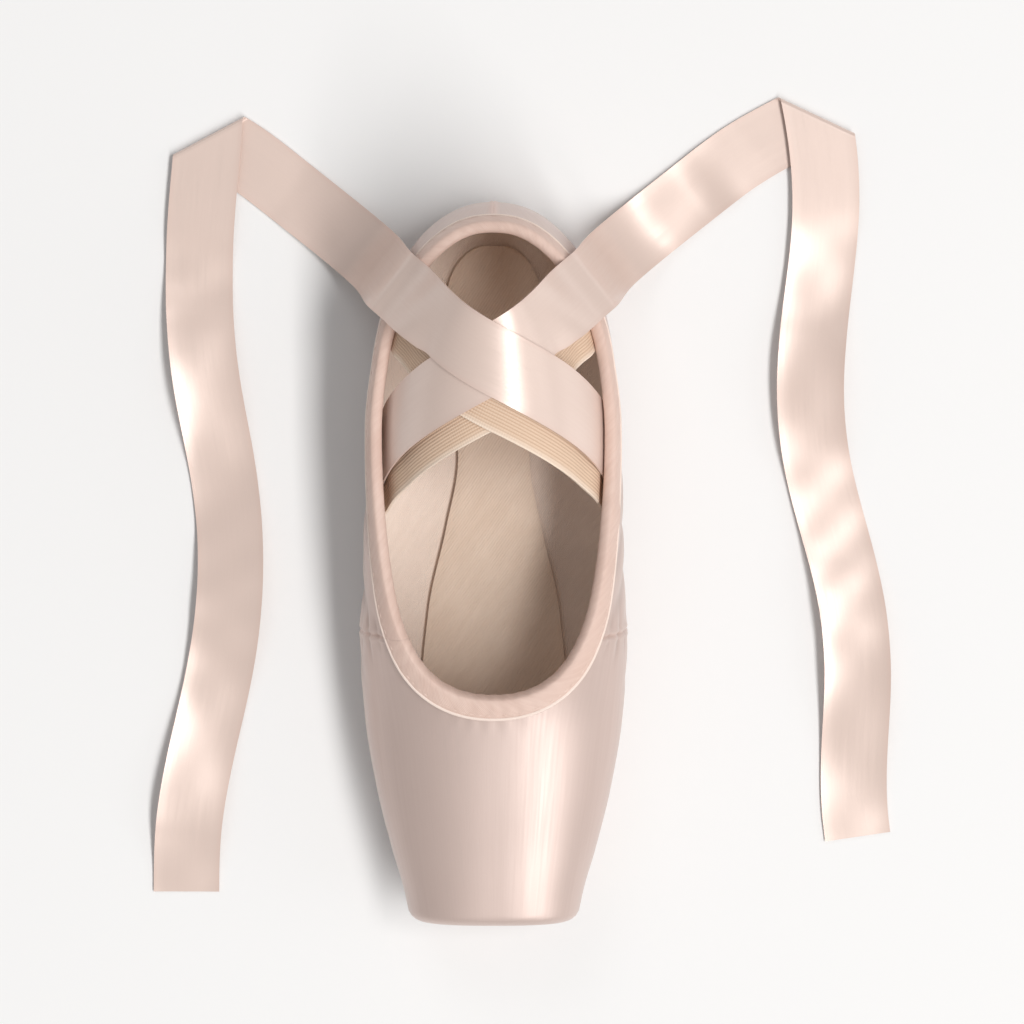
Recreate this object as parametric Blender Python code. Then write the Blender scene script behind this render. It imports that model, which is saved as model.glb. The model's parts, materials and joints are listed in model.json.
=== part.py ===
"""Pointe shoe standing empty on its sole: upper, binding, outsole, insole, two elastics, two ribbons.

Metres, +Z up, the floor at z = 0. X runs along the shoe with the toe at +X, and Y across it.
The origin is on the floor under the flat of the forefoot. Places along the shoe are given as
the distance back from the toe tip.
"""

import math

import bmesh
import bpy
import numpy as np

# Driving sizes of the last and of the uppers
LENGTH = 0.236
BALL_WIDTH = 0.0875
INSTEP_HEIGHT = 0.088
TOE_HEIGHT = 0.0315
GIRTH_HEIGHT = 0.020
VAMP_LENGTH = 0.077
THROAT_HEIGHT = 0.0505
WAIST_HEIGHT = 0.0465
HEEL_HEIGHT = 0.0545
HEEL_ROUND = 0.046
TOE_SPRING = 0.0045
ARCH_RISE = 0.003
TOE_ROUND = 0.0036
REST_BACK = 0.080

# Walls and thicknesses
BOX_WALL = 0.0026
QUARTER_WALL = 0.0014
SEAM_RIDGE = 0.0006
OUTSOLE_THICKNESS = 0.003
INSOLE_THICKNESS = 0.002
BINDING_THICKNESS = 0.0008
BINDING_OUTER_LEG = 0.0065
BINDING_INNER_LEG = 0.005
CLEARANCE = 0.0003

# Sole and insole outlines
SOLE_WIDTH = 0.049
SOLE_TOE_SETBACK = 0.020
SOLE_HEEL_SETBACK = 0.016
SOLE_EDGE_BEVEL = 0.0007
TURN_IN = 0.006
INSOLE_MARGIN = -0.0005
INSOLE_TOE_SETBACK = 0.015
INSOLE_HEEL_SETBACK = 0.014

# Straps and ribbons
ELASTIC_WIDTH = 0.019
ELASTIC_THICKNESS = 0.0008
RIBBON_WIDTH = 0.022
RIBBON_THICKNESS = 0.0005
RIBBON_LENGTH = 0.50
STRAP_CLEARANCE = 0.0005
SEWN_DEPTH = 0.020
FOLD_RADIUS = 0.0011

# Where the straps cross the collar, measured forward from the heel
ELASTIC_REAR = 0.037
ELASTIC_FRONT = 0.085
RIBBON_FRONT = 0.074
RIBBON_REAR = 0.022

# Counts of the facets
TOE_FAN = 40
SIDE_STEPS = 9
HEEL_FAN = 14
WALL_ROWS = 14
SOLE_STEPS = 34
SOLE_COLUMNS = 6
STRAP_STEPS = 36
FALL_STEP = 0.004
FLOOR_STEP = 0.0085

# Sections of the last. place: share of LENGTH from the toe tip. half_width: share of half BALL_WIDTH.
# top: share of INSTEP_HEIGHT. power: how square the top of the section is.
SECTIONS = {
    "place": (0.0, 0.045, 0.10, 0.19, 0.29, 0.39, 0.49, 0.60, 0.70, 0.80, 0.90, 1.0),
    "half_width": (0.632, 0.682, 0.768, 0.885, 0.970, 1.0, 0.972, 0.958, 0.948, 0.885, 0.80, 0.70),
    "top": (0.345, 0.375, 0.412, 0.482, 0.549, 0.655, 0.755, 0.845, 0.918, 0.968, 0.990, 1.0),
    "power": (2.7, 2.6, 2.5, 2.4, 2.3, 2.2, 2.2, 2.2, 2.2, 2.2, 2.2, 2.2),
}

# Collar line seen from the side. place: share of the way from the throat to the heel.
# throat, waist, heel: how much of each named height the line has there.
COLLAR = {
    "place": (0.0, 0.10, 0.25, 0.48, 0.66, 0.84, 1.0),
    "throat": (1.0, 0.98, 0.62, 0.0, 0.0, 0.0, 0.0),
    "waist": (0.0, 0.02, 0.38, 1.0, 0.82, 0.32, 0.0),
    "heel": (0.0, 0.0, 0.0, 0.0, 0.18, 0.68, 1.0),
}

# Rise of the underside off the floor plane. spring: share of TOE_SPRING. arch: share of ARCH_RISE.
UNDERSIDE = {
    "place": (0.0, 0.10, 0.20, 0.28, 0.42, 0.50, 0.60, 0.68, 0.76, 1.0),
    "spring": (1.0, 0.46, 0.10, 0.0, 0.0, 0.0, 0.0, 0.0, 0.0, 0.0),
    "arch": (0.0, 0.0, 0.0, 0.0, 0.0, 0.55, 1.0, 0.65, 0.0, 0.0),
}

# Outline of the outsole. place: share of its length from its toe end. half_width: share of half SOLE_WIDTH.
SOLE = {
    "place": (0.0, 0.10, 0.28, 0.42, 0.55, 0.66, 0.76, 0.88, 1.0),
    "half_width": (0.90, 0.965, 1.0, 0.90, 0.66, 0.50, 0.53, 0.66, 0.62),
}

# How far the back of the heel lies forward of its fullest point. height: share of HEEL_HEIGHT.
HEEL_BACK = {
    "height": (0.0, 0.06, 0.16, 0.34, 0.55, 0.78, 1.0, 1.5),
    "forward": (0.19, 0.120, 0.040, 0.0, 0.012, 0.058, 0.115, 0.20),
}

# A ribbon's fall outside the collar. out: distance beyond the fullest wall, as a share of RIBBON_WIDTH.
# height: share of the collar's height there.
DROP = {
    "out": (0.17, 0.30, 0.64, 1.22, 1.95),
    "height": (0.52, 0.30, 0.115, 0.030, 0.011),
}

# How each ribbon lies on the floor, along the rest of its length: where it is folded over and by how much its
# heading turns there, then its bend and waves in degrees, lengths as shares of RIBBON_LENGTH, roll in degrees,
# height of its humps as a share of RIBBON_WIDTH.
FLOOR_RUN = {
    "ribbon_left": {
        "fold": 0.062, "fold_turn": 116, "bend": 9, "wave": 9, "wave_length": 0.36,
        "hump": 0.17, "hump_length": 0.15, "roll": 6,
    },
    "ribbon_right": {
        "fold": 0.090, "fold_turn": 108, "bend": 7, "wave": 10, "wave_length": 0.29,
        "hump": 0.20, "hump_length": 0.18, "roll": -5,
    },
}

TOE_X = REST_BACK
TOE_FAN_BACK = 1.52 * VAMP_LENGTH
HEEL_FAN_BACK = LENGTH - 0.87 * HEEL_ROUND
SOLE_FRONT_ROUND = 0.42 * SOLE_WIDTH
SOLE_REAR_ROUND = 0.36 * SOLE_WIDTH
SPINE_HEIGHT = GIRTH_HEIGHT * 1.3
BOTTOM = OUTSOLE_THICKNESS + CLEARANCE
UP = np.array((0.0, 0.0, 1.0))


def curve(places, values, at):
    """A smooth curve through a table's rows, without overshoot."""
    x, y, at = np.asarray(places), np.asarray(values), np.asarray(at, float)
    step, slope = np.diff(x), np.diff(y) / np.diff(x)
    tangent = np.zeros(len(x))
    tangent[1:-1] = np.where(
        slope[:-1] * slope[1:] > 0,
        2 * slope[:-1] * slope[1:] / np.where(slope[:-1] + slope[1:] == 0, 1, slope[:-1] + slope[1:]),
        0,
    )
    tangent[0], tangent[-1] = slope[0], slope[-1]
    i = np.clip(np.searchsorted(x, at, side="right") - 1, 0, len(x) - 2)
    t = np.clip((at - x[i]) / step[i], 0, 1)
    return (
        y[i] * (1 + 2 * t) * (1 - t) ** 2
        + y[i + 1] * t * t * (3 - 2 * t)
        + step[i] * tangent[i] * t * (1 - t) ** 2
        - step[i] * tangent[i + 1] * t * t * (1 - t)
    )


def ease(value, start, end):
    """0 before start, 1 after end, smooth between."""
    t = np.clip((np.asarray(value, float) - start) / (end - start), 0, 1)
    return t * t * (3 - 2 * t)


def rise(back):
    """Height of the shoe's underside off the floor plane: toe spring, flats and arch."""
    share = back / LENGTH
    return TOE_SPRING * curve(UNDERSIDE["place"], UNDERSIDE["spring"], share) + ARCH_RISE * curve(
        UNDERSIDE["place"], UNDERSIDE["arch"], share
    )


def collar_height(back):
    """Height of the collar edge above the floor, seen from the side."""
    share = (back - VAMP_LENGTH) / (LENGTH - VAMP_LENGTH)
    return (
        THROAT_HEIGHT * curve(COLLAR["place"], COLLAR["throat"], share)
        + WAIST_HEIGHT * curve(COLLAR["place"], COLLAR["waist"], share)
        + HEEL_HEIGHT * curve(COLLAR["place"], COLLAR["heel"], share)
    )


def plan_half_width(back):
    """Half width of the last seen from above, closed by a round heel."""
    width = BALL_WIDTH / 2 * curve(SECTIONS["place"], SECTIONS["half_width"], back / LENGTH)
    into = np.clip((back - (LENGTH - HEEL_ROUND)) / HEEL_ROUND, 0, 1)
    return width * (1 - into**2.3) ** (1 / 2.3)


def leaned(back, height):
    """The place on the plan outline that stands for this height, by the curve of the heel's back."""
    forward = HEEL_HEIGHT * curve(HEEL_BACK["height"], HEEL_BACK["forward"], height / HEEL_HEIGHT)
    return back + forward * ease(back, LENGTH - 1.6 * HEEL_ROUND, LENGTH - 0.25 * HEEL_ROUND)


def toe_inset(back):
    """How far the rounded edge of the platform pulls the section in."""
    near = np.clip(TOE_ROUND - back, 0, TOE_ROUND)
    return TOE_ROUND - np.sqrt(TOE_ROUND**2 - near**2)


def instep(back):
    """Height of the top of the last: the vamp, then the foot's instep above the open throat."""
    share = back / LENGTH
    top = INSTEP_HEIGHT * curve(SECTIONS["place"], SECTIONS["top"], share)
    toe_top = TOE_HEIGHT + TOE_SPRING - INSTEP_HEIGHT * SECTIONS["top"][0]
    throat_share = curve(SECTIONS["place"], SECTIONS["top"], VAMP_LENGTH / LENGTH)
    throat_top = THROAT_HEIGHT - INSTEP_HEIGHT * throat_share
    to_throat = ease(back, 0, VAMP_LENGTH)
    past_throat = ease(back, VAMP_LENGTH, LENGTH * 0.7)
    return top + toe_top * (1 - to_throat) + throat_top * to_throat * (1 - past_throat)


def sole_half_width(back, toe_setback, heel_setback, change):
    """Half width of the sole outline, with both ends round. change: grown by this all round."""
    length = LENGTH - toe_setback - heel_setback
    share = (back - toe_setback) / length
    width = SOLE_WIDTH / 2 * curve(SOLE["place"], SOLE["half_width"], share) + change
    to_front = np.clip(1 - (back - toe_setback) / SOLE_FRONT_ROUND, 0, 1)
    to_rear = np.clip(1 - (LENGTH - heel_setback - back) / SOLE_REAR_ROUND, 0, 1)
    round_front = (1 - to_front**2.4) ** (1 / 2.4)
    round_rear = (1 - to_rear**2) ** (1 / 2.2)
    return np.where((share < 0) | (share > 1), 0, width * round_front * round_rear)


def flat_half_width(back, half):
    """Half width of the flat underside that the sole covers, where the last is this wide at most."""
    front = SOLE_TOE_SETBACK + 0.7 * SOLE_FRONT_ROUND
    rear = LENGTH - SOLE_HEEL_SETBACK - SOLE_REAR_ROUND
    wide = sole_half_width(np.clip(back, front, rear), SOLE_TOE_SETBACK, SOLE_HEEL_SETBACK, SOLE_EDGE_BEVEL)
    share = 0.30 + 0.42 * ease(back, 0, front)
    return np.minimum(wide, share * half)


def outside(x, y, z):
    """Below 0 inside the last, above 0 outside it."""
    back = TOE_X - x
    inset = toe_inset(back)
    along = leaned(back, z)
    half = np.maximum(plan_half_width(along) - inset, 1e-5)
    power = curve(SECTIONS["place"], SECTIONS["power"], back / LENGTH)
    top, bottom = instep(back) - inset, BOTTOM + rise(back) + inset
    flat = flat_half_width(back, half)
    upper = (np.abs(y) / half) ** power + (np.maximum(z - GIRTH_HEIGHT, 0) / (top - GIRTH_HEIGHT)) ** power
    aside = np.maximum(np.abs(y) - flat, 0) / np.maximum(half - flat, 1e-5)
    lower = aside**2.3 + (np.maximum(GIRTH_HEIGHT - z, 0) / (GIRTH_HEIGHT - bottom)) ** 2.3
    level = np.where(z > GIRTH_HEIGHT, upper, lower) - 1
    return np.where((back < 0) | (along >= LENGTH), 1.0, level)


def ray_ends(origins, directions):
    """Where rays from inside the last leave it."""
    near, far = np.zeros(len(origins)), np.full(len(origins), 0.3)
    for _ in range(26):
        middle = (near + far) / 2
        at = origins + directions * middle[:, None]
        beyond = outside(at[:, 0], at[:, 1], at[:, 2]) > 0
        far, near = np.where(beyond, middle, far), np.where(beyond, near, middle)
    return origins + directions * near[:, None]


def stations(toe_fan, side_steps, heel_fan, seam=True):
    """Spine point and outward direction of each profile plane, once round from the toe over the left."""
    found = []
    for i in range(-toe_fan // 2, toe_fan // 2 + 1):
        share = 2 * abs(i) / toe_fan
        turn = math.pi / 2 * (0.35 * share + 0.65 * share**2.2)
        found.append((TOE_FAN_BACK, math.copysign(turn, i)))
    for i in range(1, side_steps + 1):
        back = TOE_FAN_BACK + (HEEL_FAN_BACK - TOE_FAN_BACK) * i / side_steps
        found.append((back, math.pi / 2))
    turns = [math.pi / 2 + math.pi * i / heel_fan for i in range(1, heel_fan)]
    if seam:
        turns += [math.pi - 0.075, math.pi - 0.035, math.pi + 0.035, math.pi + 0.075]
    for turn in sorted(turns):
        found.append((HEEL_FAN_BACK, turn))
    for i in range(side_steps, 0, -1):
        back = TOE_FAN_BACK + (HEEL_FAN_BACK - TOE_FAN_BACK) * i / side_steps
        found.append((back, 1.5 * math.pi))
    return found


def past_opening(at):
    """Above 0 where the underside lies beyond the edge of the opening that the sole closes."""
    half = sole_half_width(TOE_X - at[..., 0], SOLE_TOE_SETBACK, SOLE_HEEL_SETBACK, 0)
    return np.abs(at[..., 1]) - half + TURN_IN


def past_collar(at):
    """Above 0 over the collar edge."""
    return at[..., 2] - collar_height(TOE_X - at[..., 0])


def last_points(places, tilts):
    """Points of the last, one row for each profile plane, at these tilts of its rays."""
    backs, turns = np.array(places).T
    spine = np.stack([TOE_X - backs, 0 * backs, 0 * backs + SPINE_HEIGHT], axis=1)
    level = np.stack([np.cos(turns), np.sin(turns), 0 * turns], axis=1)
    directions = level[:, None] * np.cos(tilts)[..., None] + UP * np.sin(tilts)[..., None]
    origins = np.broadcast_to(spine[:, None], directions.shape)
    return ray_ends(origins.reshape(-1, 3), directions.reshape(-1, 3)).reshape(directions.shape)


def first_tilt(places, test):
    """The tilt at which each profile, followed upwards, first passes the test."""
    coarse = np.tile(np.linspace(-0.495 * math.pi, 0.47 * math.pi, 150), (len(places), 1))
    beyond = np.argmax(test(last_points(places, coarse)) > 0, axis=1)
    rows = np.arange(len(places))
    low, high = coarse[rows, beyond - 1], coarse[rows, beyond]
    for _ in range(22):
        middle = (low + high) / 2
        passed = test(last_points(places, middle[:, None]))[:, 0] > 0
        low, high = np.where(passed, low, middle), np.where(passed, middle, high)
    return high


def upper_profiles(places, steps=150):
    """Profiles of the upper's outer face, each from the sole opening's edge up to the collar."""
    start, end = first_tilt(places, past_opening), first_tilt(places, past_collar)
    share = np.linspace(0, 1, steps)
    return last_points(places, start[:, None] * (1 - share) + end[:, None] * share)


def spread(points, rows):
    """Evenly spaced points of a profile, closer where it bends."""
    step = np.diff(points, axis=0)
    length = np.linalg.norm(step, axis=1)
    unit = step / length[:, None]
    bend = np.zeros(len(length))
    bend[1:] = np.arccos(np.clip((unit[1:] * unit[:-1]).sum(1), -1, 1))
    way = np.concatenate([[0], np.cumsum(length + 0.45 * GIRTH_HEIGHT * bend)])
    share = np.linspace(0, way[-1], rows)
    return np.stack([np.interp(share, way, points[:, k]) for k in range(3)], axis=1)


def below_collar(points, depth):
    """The point of a profile this far below the collar, measured along it."""
    turned = points[::-1]
    way = np.concatenate([[0], np.cumsum(np.linalg.norm(np.diff(turned, axis=0), axis=1))])
    return np.array([np.interp(depth, way, turned[:, k]) for k in range(3)])


def grid_normals(grid):
    """Outward normals of a grid that closes round its first axis."""
    around = np.roll(grid, -1, axis=0) - np.roll(grid, 1, axis=0)
    up = np.gradient(grid, axis=1)
    normal = np.cross(around, up)
    return normal / np.linalg.norm(normal, axis=2, keepdims=True)


def wall(x):
    """Wall of the upper: stiff and thick at the box, thin at the quarters."""
    return BOX_WALL + (QUARTER_WALL - BOX_WALL) * ease(TOE_X - x, 0.5 * VAMP_LENGTH, 1.5 * VAMP_LENGTH)


def make_object(name, verts, faces, material):
    """A smooth mesh object from points and faces."""
    mesh = bpy.data.meshes.new(name)
    mesh.from_pydata([tuple(map(float, v)) for v in verts], [], faces)
    shell = bmesh.new()
    shell.from_mesh(mesh)
    bmesh.ops.recalc_face_normals(shell, faces=shell.faces)
    if shell.calc_volume(signed=True) < 0:
        bmesh.ops.reverse_faces(shell, faces=shell.faces)
    shell.to_mesh(mesh)
    shell.free()
    mesh.shade_smooth()
    mesh.set_sharp_from_angle(angle=math.radians(50))
    mesh.materials.append(material)
    obj = bpy.data.objects.new(name, mesh)
    bpy.context.scene.collection.objects.link(obj)
    return obj


def make_material(name, color, roughness):
    """A plain finish for one sub-part."""
    material = bpy.data.materials.new(name)
    material.use_nodes = True
    shader = material.node_tree.nodes["Principled BSDF"]
    shader.inputs["Base Color"].default_value = (*color, 1)
    shader.inputs["Roughness"].default_value = roughness
    shader.inputs["Metallic"].default_value = 0
    return material


def tube_faces(count, around, closed):
    """Faces of a closed section of so many points, carried through count places."""
    faces = []
    for i in range(count if closed else count - 1):
        j = (i + 1) % count
        for k in range(around):
            n = (k + 1) % around
            faces.append((i * around + k, j * around + k, j * around + n, i * around + n))
    if not closed:
        faces.append(tuple(range(around)))
        faces.append(tuple(range((count - 1) * around, count * around)))
    return faces


def build_upper(profiles, turns):
    """The hollow upper: outer face, inner face, and the two edges that join them."""
    grid = np.array([spread(points, WALL_ROWS) for points in profiles])
    normal = grid_normals(grid)
    at_seam = np.array([abs(turn - math.pi) < 0.04 for turn in turns])
    below = collar_height(TOE_X - grid[:, :, 0]) - grid[:, :, 2]
    ridge = SEAM_RIDGE * at_seam[:, None] * ease(below, 1.3 * BINDING_OUTER_LEG, 1.9 * BINDING_OUTER_LEG)
    ridge *= ease(grid[:, :, 2], BOTTOM + OUTSOLE_THICKNESS / 2, BOTTOM + 2 * OUTSOLE_THICKNESS)
    outer = grid + normal * ridge[:, :, None]
    inner = grid - normal * wall(grid[:, :, 0])[:, :, None]
    ring = np.concatenate([outer, inner[:, ::-1]], axis=1)
    count, around = ring.shape[:2]
    satin = make_material("satin", (0.86, 0.74, 0.68), 0.38)
    return make_object("upper", ring.reshape(-1, 3), tube_faces(count, around, True), satin)


def build_binding(profiles):
    """Folded tape over the collar edge: an outer leg, a crown and an inner leg."""
    depths = (0.0, BINDING_OUTER_LEG / 2, BINDING_OUTER_LEG)
    rows = np.array([[below_collar(points, depth) for depth in depths] for points in profiles])
    outward = -grid_normals(rows)
    down = rows[:, 1] - rows[:, 0]
    down /= np.linalg.norm(down, axis=1, keepdims=True)
    skin = wall(rows[:, :, 0])
    near, far = 1.5 * CLEARANCE, 1.5 * CLEARANCE + BINDING_THICKNESS

    def leg(row, offset):
        return rows[:, row] + outward[:, row] * np.asarray(offset).reshape(-1, 1)

    inner_depth = down * BINDING_INNER_LEG
    section = [
        leg(2, near),
        leg(2, far + 0.4 * BINDING_THICKNESS) + down * 0.6 * BINDING_THICKNESS,
        leg(2, far + 0.4 * BINDING_THICKNESS) - down * 1.5 * BINDING_THICKNESS,
        leg(1, far),
        leg(0, far),
        leg(0, near) - down * far,
        leg(0, -skin[:, 0] - near) - down * far,
        leg(0, -skin[:, 0] - far),
        leg(0, -skin[:, 0] - far) + inner_depth,
        leg(0, -skin[:, 0] - near) + inner_depth,
        leg(0, -skin[:, 0] - near) - down * near,
        leg(0, near) - down * near,
        leg(1, near),
    ]
    ring = np.stack(section, axis=1)
    count, around = ring.shape[:2]
    tape = make_material("binding", (0.84, 0.68, 0.60), 0.5)
    return make_object("binding", ring.reshape(-1, 3), tube_faces(count, around, True), tape)


def sole_places(toe_setback, heel_setback):
    """Distances from the toe tip, closer together at the two round ends."""
    share = (1 - np.cos(np.linspace(0.035, 0.965, SOLE_STEPS) * math.pi)) / 2
    return toe_setback + (LENGTH - toe_setback - heel_setback) * share


def build_outsole():
    """Leather sole with a bevelled lower edge, flat under the forefoot and the heel."""
    across = np.linspace(-1, 1, SOLE_COLUMNS)
    verts = []
    for back in sole_places(SOLE_TOE_SETBACK, SOLE_HEEL_SETBACK):
        half = float(sole_half_width(back, SOLE_TOE_SETBACK, SOLE_HEEL_SETBACK, 0))
        low = float(rise(back))
        high = low + OUTSOLE_THICKNESS
        x = TOE_X - back
        bevel = min(SOLE_EDGE_BEVEL, half / 3)
        verts += [(x, y * half, high) for y in across]
        verts.append((x, half, low + bevel))
        verts += [(x, y * (half - bevel), low) for y in across[::-1]]
        verts.append((x, -half, low + bevel))
    around = 2 * SOLE_COLUMNS + 2
    leather = make_material("sole_leather", (0.80, 0.62, 0.50), 0.7)
    return make_object("outsole", verts, tube_faces(SOLE_STEPS, around, False), leather)


def underside_height(back, y):
    """Height of the upper's outer face under the foot, off the flat of the sole."""
    half = plan_half_width(leaned(back, BOTTOM))
    flat = flat_half_width(back, half)
    aside = np.clip((np.abs(y) - flat) / np.maximum(half - flat, 1e-4), 0, 0.999)
    bottom = BOTTOM + rise(back)
    return GIRTH_HEIGHT - (GIRTH_HEIGHT - bottom) * (1 - aside**2.3) ** (1 / 2.3)


def board_height(back, y):
    """Height of the insole's lower face: the wall's thickness above the underside, square to its slope."""
    step = CLEARANCE
    here = float(underside_height(back, y))
    slope = (float(underside_height(back, abs(y) + step)) - float(underside_height(back, abs(y)))) / step
    return here + float(wall(TOE_X - back)) * math.sqrt(1 + slope * slope) + 1.5 * CLEARANCE


def build_insole():
    """Sock board lying on the turned-in edge of the upper."""
    across = np.linspace(-1, 1, SOLE_COLUMNS)
    verts = []
    for back in sole_places(INSOLE_TOE_SETBACK, INSOLE_HEEL_SETBACK):
        half = float(sole_half_width(back, INSOLE_TOE_SETBACK, INSOLE_HEEL_SETBACK, INSOLE_MARGIN))
        x = TOE_X - back
        low = [board_height(back, y * half) for y in across]
        verts += [(x, y * half, z + INSOLE_THICKNESS) for y, z in zip(across, low)]
        verts += [(x, y * half, z) for y, z in zip(across[::-1], low[::-1])]
    board = make_material("insole", (0.78, 0.72, 0.66), 0.8)
    return make_object("insole", verts, tube_faces(SOLE_STEPS, 2 * SOLE_COLUMNS, False), board)


def form_point(back, angle):
    """A point of the last's upper half. angle: 0 at the girth on the +Y side, pi/2 on top."""
    share = back / LENGTH
    power = 2 / curve(SECTIONS["place"], SECTIONS["power"], share)
    z = GIRTH_HEIGHT + (instep(back) - GIRTH_HEIGHT) * np.abs(np.sin(angle)) ** power
    y = plan_half_width(leaned(back, z)) * np.sign(np.cos(angle)) * np.abs(np.cos(angle)) ** power
    return np.stack([TOE_X - back, y, z], axis=-1)


def form_normal(back, angle):
    """Outward normal of the last there."""
    step = 0.002
    along = form_point(back + step, angle) - form_point(back - step, angle)
    around = form_point(back, angle + step) - form_point(back, angle - step)
    normal = np.cross(along, around)
    return normal / np.linalg.norm(normal, axis=-1, keepdims=True)


def collar_angle(back):
    """The angle at which a section of the last meets the collar, on the +Y side."""
    share = (collar_height(back) - GIRTH_HEIGHT) / (instep(back) - GIRTH_HEIGHT)
    return math.asin(float(share ** (curve(SECTIONS["place"], SECTIONS["power"], back / LENGTH) / 2)))


def square_half_width(rows):
    """Half the width of a strip, square to its way, at each of its rows of three points."""
    along = np.gradient(rows[:, 1], axis=0)
    along /= np.linalg.norm(along, axis=1, keepdims=True)
    side = (rows[:, 2] - rows[:, 0]) / 2
    return np.linalg.norm(side - (side * along).sum(axis=1)[:, None] * along, axis=1)


def strap_rows(front, rear, width, layers, sewn_layers, over_rear):
    """Three rows of points and normals of a strap's middle layer over the instep.

    It rises from inside the collar on the +Y side at front and crosses to the other side at rear.
    layers: thicknesses that lie over it at the crossing. sewn_layers: the same, at its sewn front end.
    over_rear: it leaves the last above the collar at its rear end, to pass over it.
    """
    angles = np.linspace(0.02, math.pi - 0.02, 500)
    section = form_point(np.full(500, (front + rear) / 2), angles)
    arcs = np.concatenate([[0], np.cumsum(np.linalg.norm(np.diff(section, axis=0), axis=1))])
    start = np.interp(collar_angle(front), angles, arcs)
    end = np.interp(math.pi - collar_angle(rear), angles, arcs)
    slant = (rear - front) / (end - start)
    last = end - 1.35 * width if over_rear else end + SEWN_DEPTH
    way = np.linspace(start - SEWN_DEPTH, last, STRAP_STEPS)
    sides = np.array((-1, 0, 1))
    half = np.full((STRAP_STEPS, 1), width / 2 / math.hypot(1, slant))
    for _ in range(4):
        arc = way[:, None] - slant * half * sides
        back = front + slant * (way - start)[:, None] + half * sides
        angle = np.interp(arc, arcs, angles)
        bare = form_point(back, angle)
        half = half * width / (2 * square_half_width(bare))[:, None]
    normal = form_normal(back, angle)
    above = bare[..., 2] - collar_height(back)
    sewn = np.where(arc < (start + end) / 2, sewn_layers, 0)
    stack = sewn + (layers - sewn) * ease(above, 0, 0.6 * width)
    skin = wall(bare[..., 0]) + 2.5 * CLEARANCE
    tape = (BINDING_THICKNESS + CLEARANCE) * ease(above, -2.6 * BINDING_INNER_LEG, -1.5 * BINDING_INNER_LEG)
    return bare - normal * (skin + tape + stack)[..., None], normal


def smooth_path(knots, step):
    """Points about a step apart on a smooth curve through the knots."""
    knots = np.asarray(knots, float)
    way = np.concatenate([[0], np.cumsum(np.linalg.norm(np.diff(knots, axis=0), axis=1))])
    fine = np.linspace(0, way[-1], 400)
    path = np.stack([curve(way, knots[:, k], fine) for k in range(3)], axis=1)
    length = np.concatenate([[0], np.cumsum(np.linalg.norm(np.diff(path, axis=0), axis=1))])
    at = np.linspace(0, length[-1], max(2, round(length[-1] / step) + 1))
    return np.stack([np.interp(at, length, path[:, k]) for k in range(3)], axis=1)


def wall_distance(origin, heading, height):
    """How far the outer face of the last lies at this height, for the edge of a ribbon that is furthest inside."""
    aside = np.cross(UP, heading) * RIBBON_WIDTH / 2
    start = np.array([origin[0], origin[1], height]) + np.outer((-1, 0, 1), aside)
    return float(np.linalg.norm(ray_ends(start, np.repeat(heading[None], 3, axis=0)) - start, axis=1).max())


def ribbon_fall(leave, heading):
    """Middle line of a ribbon from the last, over the collar and down outside it to the floor."""
    over = float(collar_height(TOE_X - leave[0] - heading[0] * RIBBON_WIDTH / 2))
    for _ in range(4):
        to_rim = wall_distance(leave, heading, over)
        over = float(collar_height(TOE_X - leave[0] - heading[0] * to_rim))
    to_full = wall_distance(leave, heading, GIRTH_HEIGHT)
    tape = 3 * CLEARANCE + BINDING_THICKNESS
    knots = [
        (0, leave[2]),
        (0.45 * to_rim, 0.55 * leave[2] + 0.45 * over + 0.17 * RIBBON_WIDTH),
        (to_rim - QUARTER_WALL, over + tape + 0.1 * RIBBON_WIDTH),
        (to_rim + tape + 0.12 * RIBBON_WIDTH, over - 0.06 * RIBBON_WIDTH),
    ]
    knots += [(to_full + out * RIBBON_WIDTH, over * height) for out, height in zip(DROP["out"], DROP["height"])]
    flat = np.array((leave[0], leave[1], 0))
    return smooth_path([flat + heading * out + UP * height for out, height in knots], FALL_STEP)


def floor_places(length, fold):
    """Distances along a ribbon's run on the floor, close together round its fold."""
    near = fold + math.pi * FOLD_RADIUS * np.linspace(-1.5, 2.5, 21)
    before = np.linspace(0, near[0], round(near[0] / FLOOR_STEP) + 1)[1:-1]
    after = np.linspace(near[-1], length, round((length - near[-1]) / FLOOR_STEP) + 1)[1:]
    return np.concatenate([before, near, after])


def folded(points, normals, crease, across):
    """A strip folded back over a crease, round a small radius. across: level direction square to the crease."""
    ahead = (points[..., :2] - crease) @ across
    angle = np.clip(ahead / FOLD_RADIUS, 0, math.pi)
    back = np.maximum(ahead - math.pi * FOLD_RADIUS, 0)
    moved = np.minimum(ahead, 0) + FOLD_RADIUS * np.sin(angle) - back
    level = (moved - ahead)[..., None] * across
    points = points + np.concatenate([level, FOLD_RADIUS * (1 - np.cos(angle))[..., None]], axis=-1)
    out, up = normals[..., :2] @ across, normals[..., 2]
    turned = out * np.cos(angle) - up * np.sin(angle)
    level = normals[..., :2] + (turned - out)[..., None] * across
    return points, np.concatenate([level, (out * np.sin(angle) + up * np.cos(angle))[..., None]], axis=-1)


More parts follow.
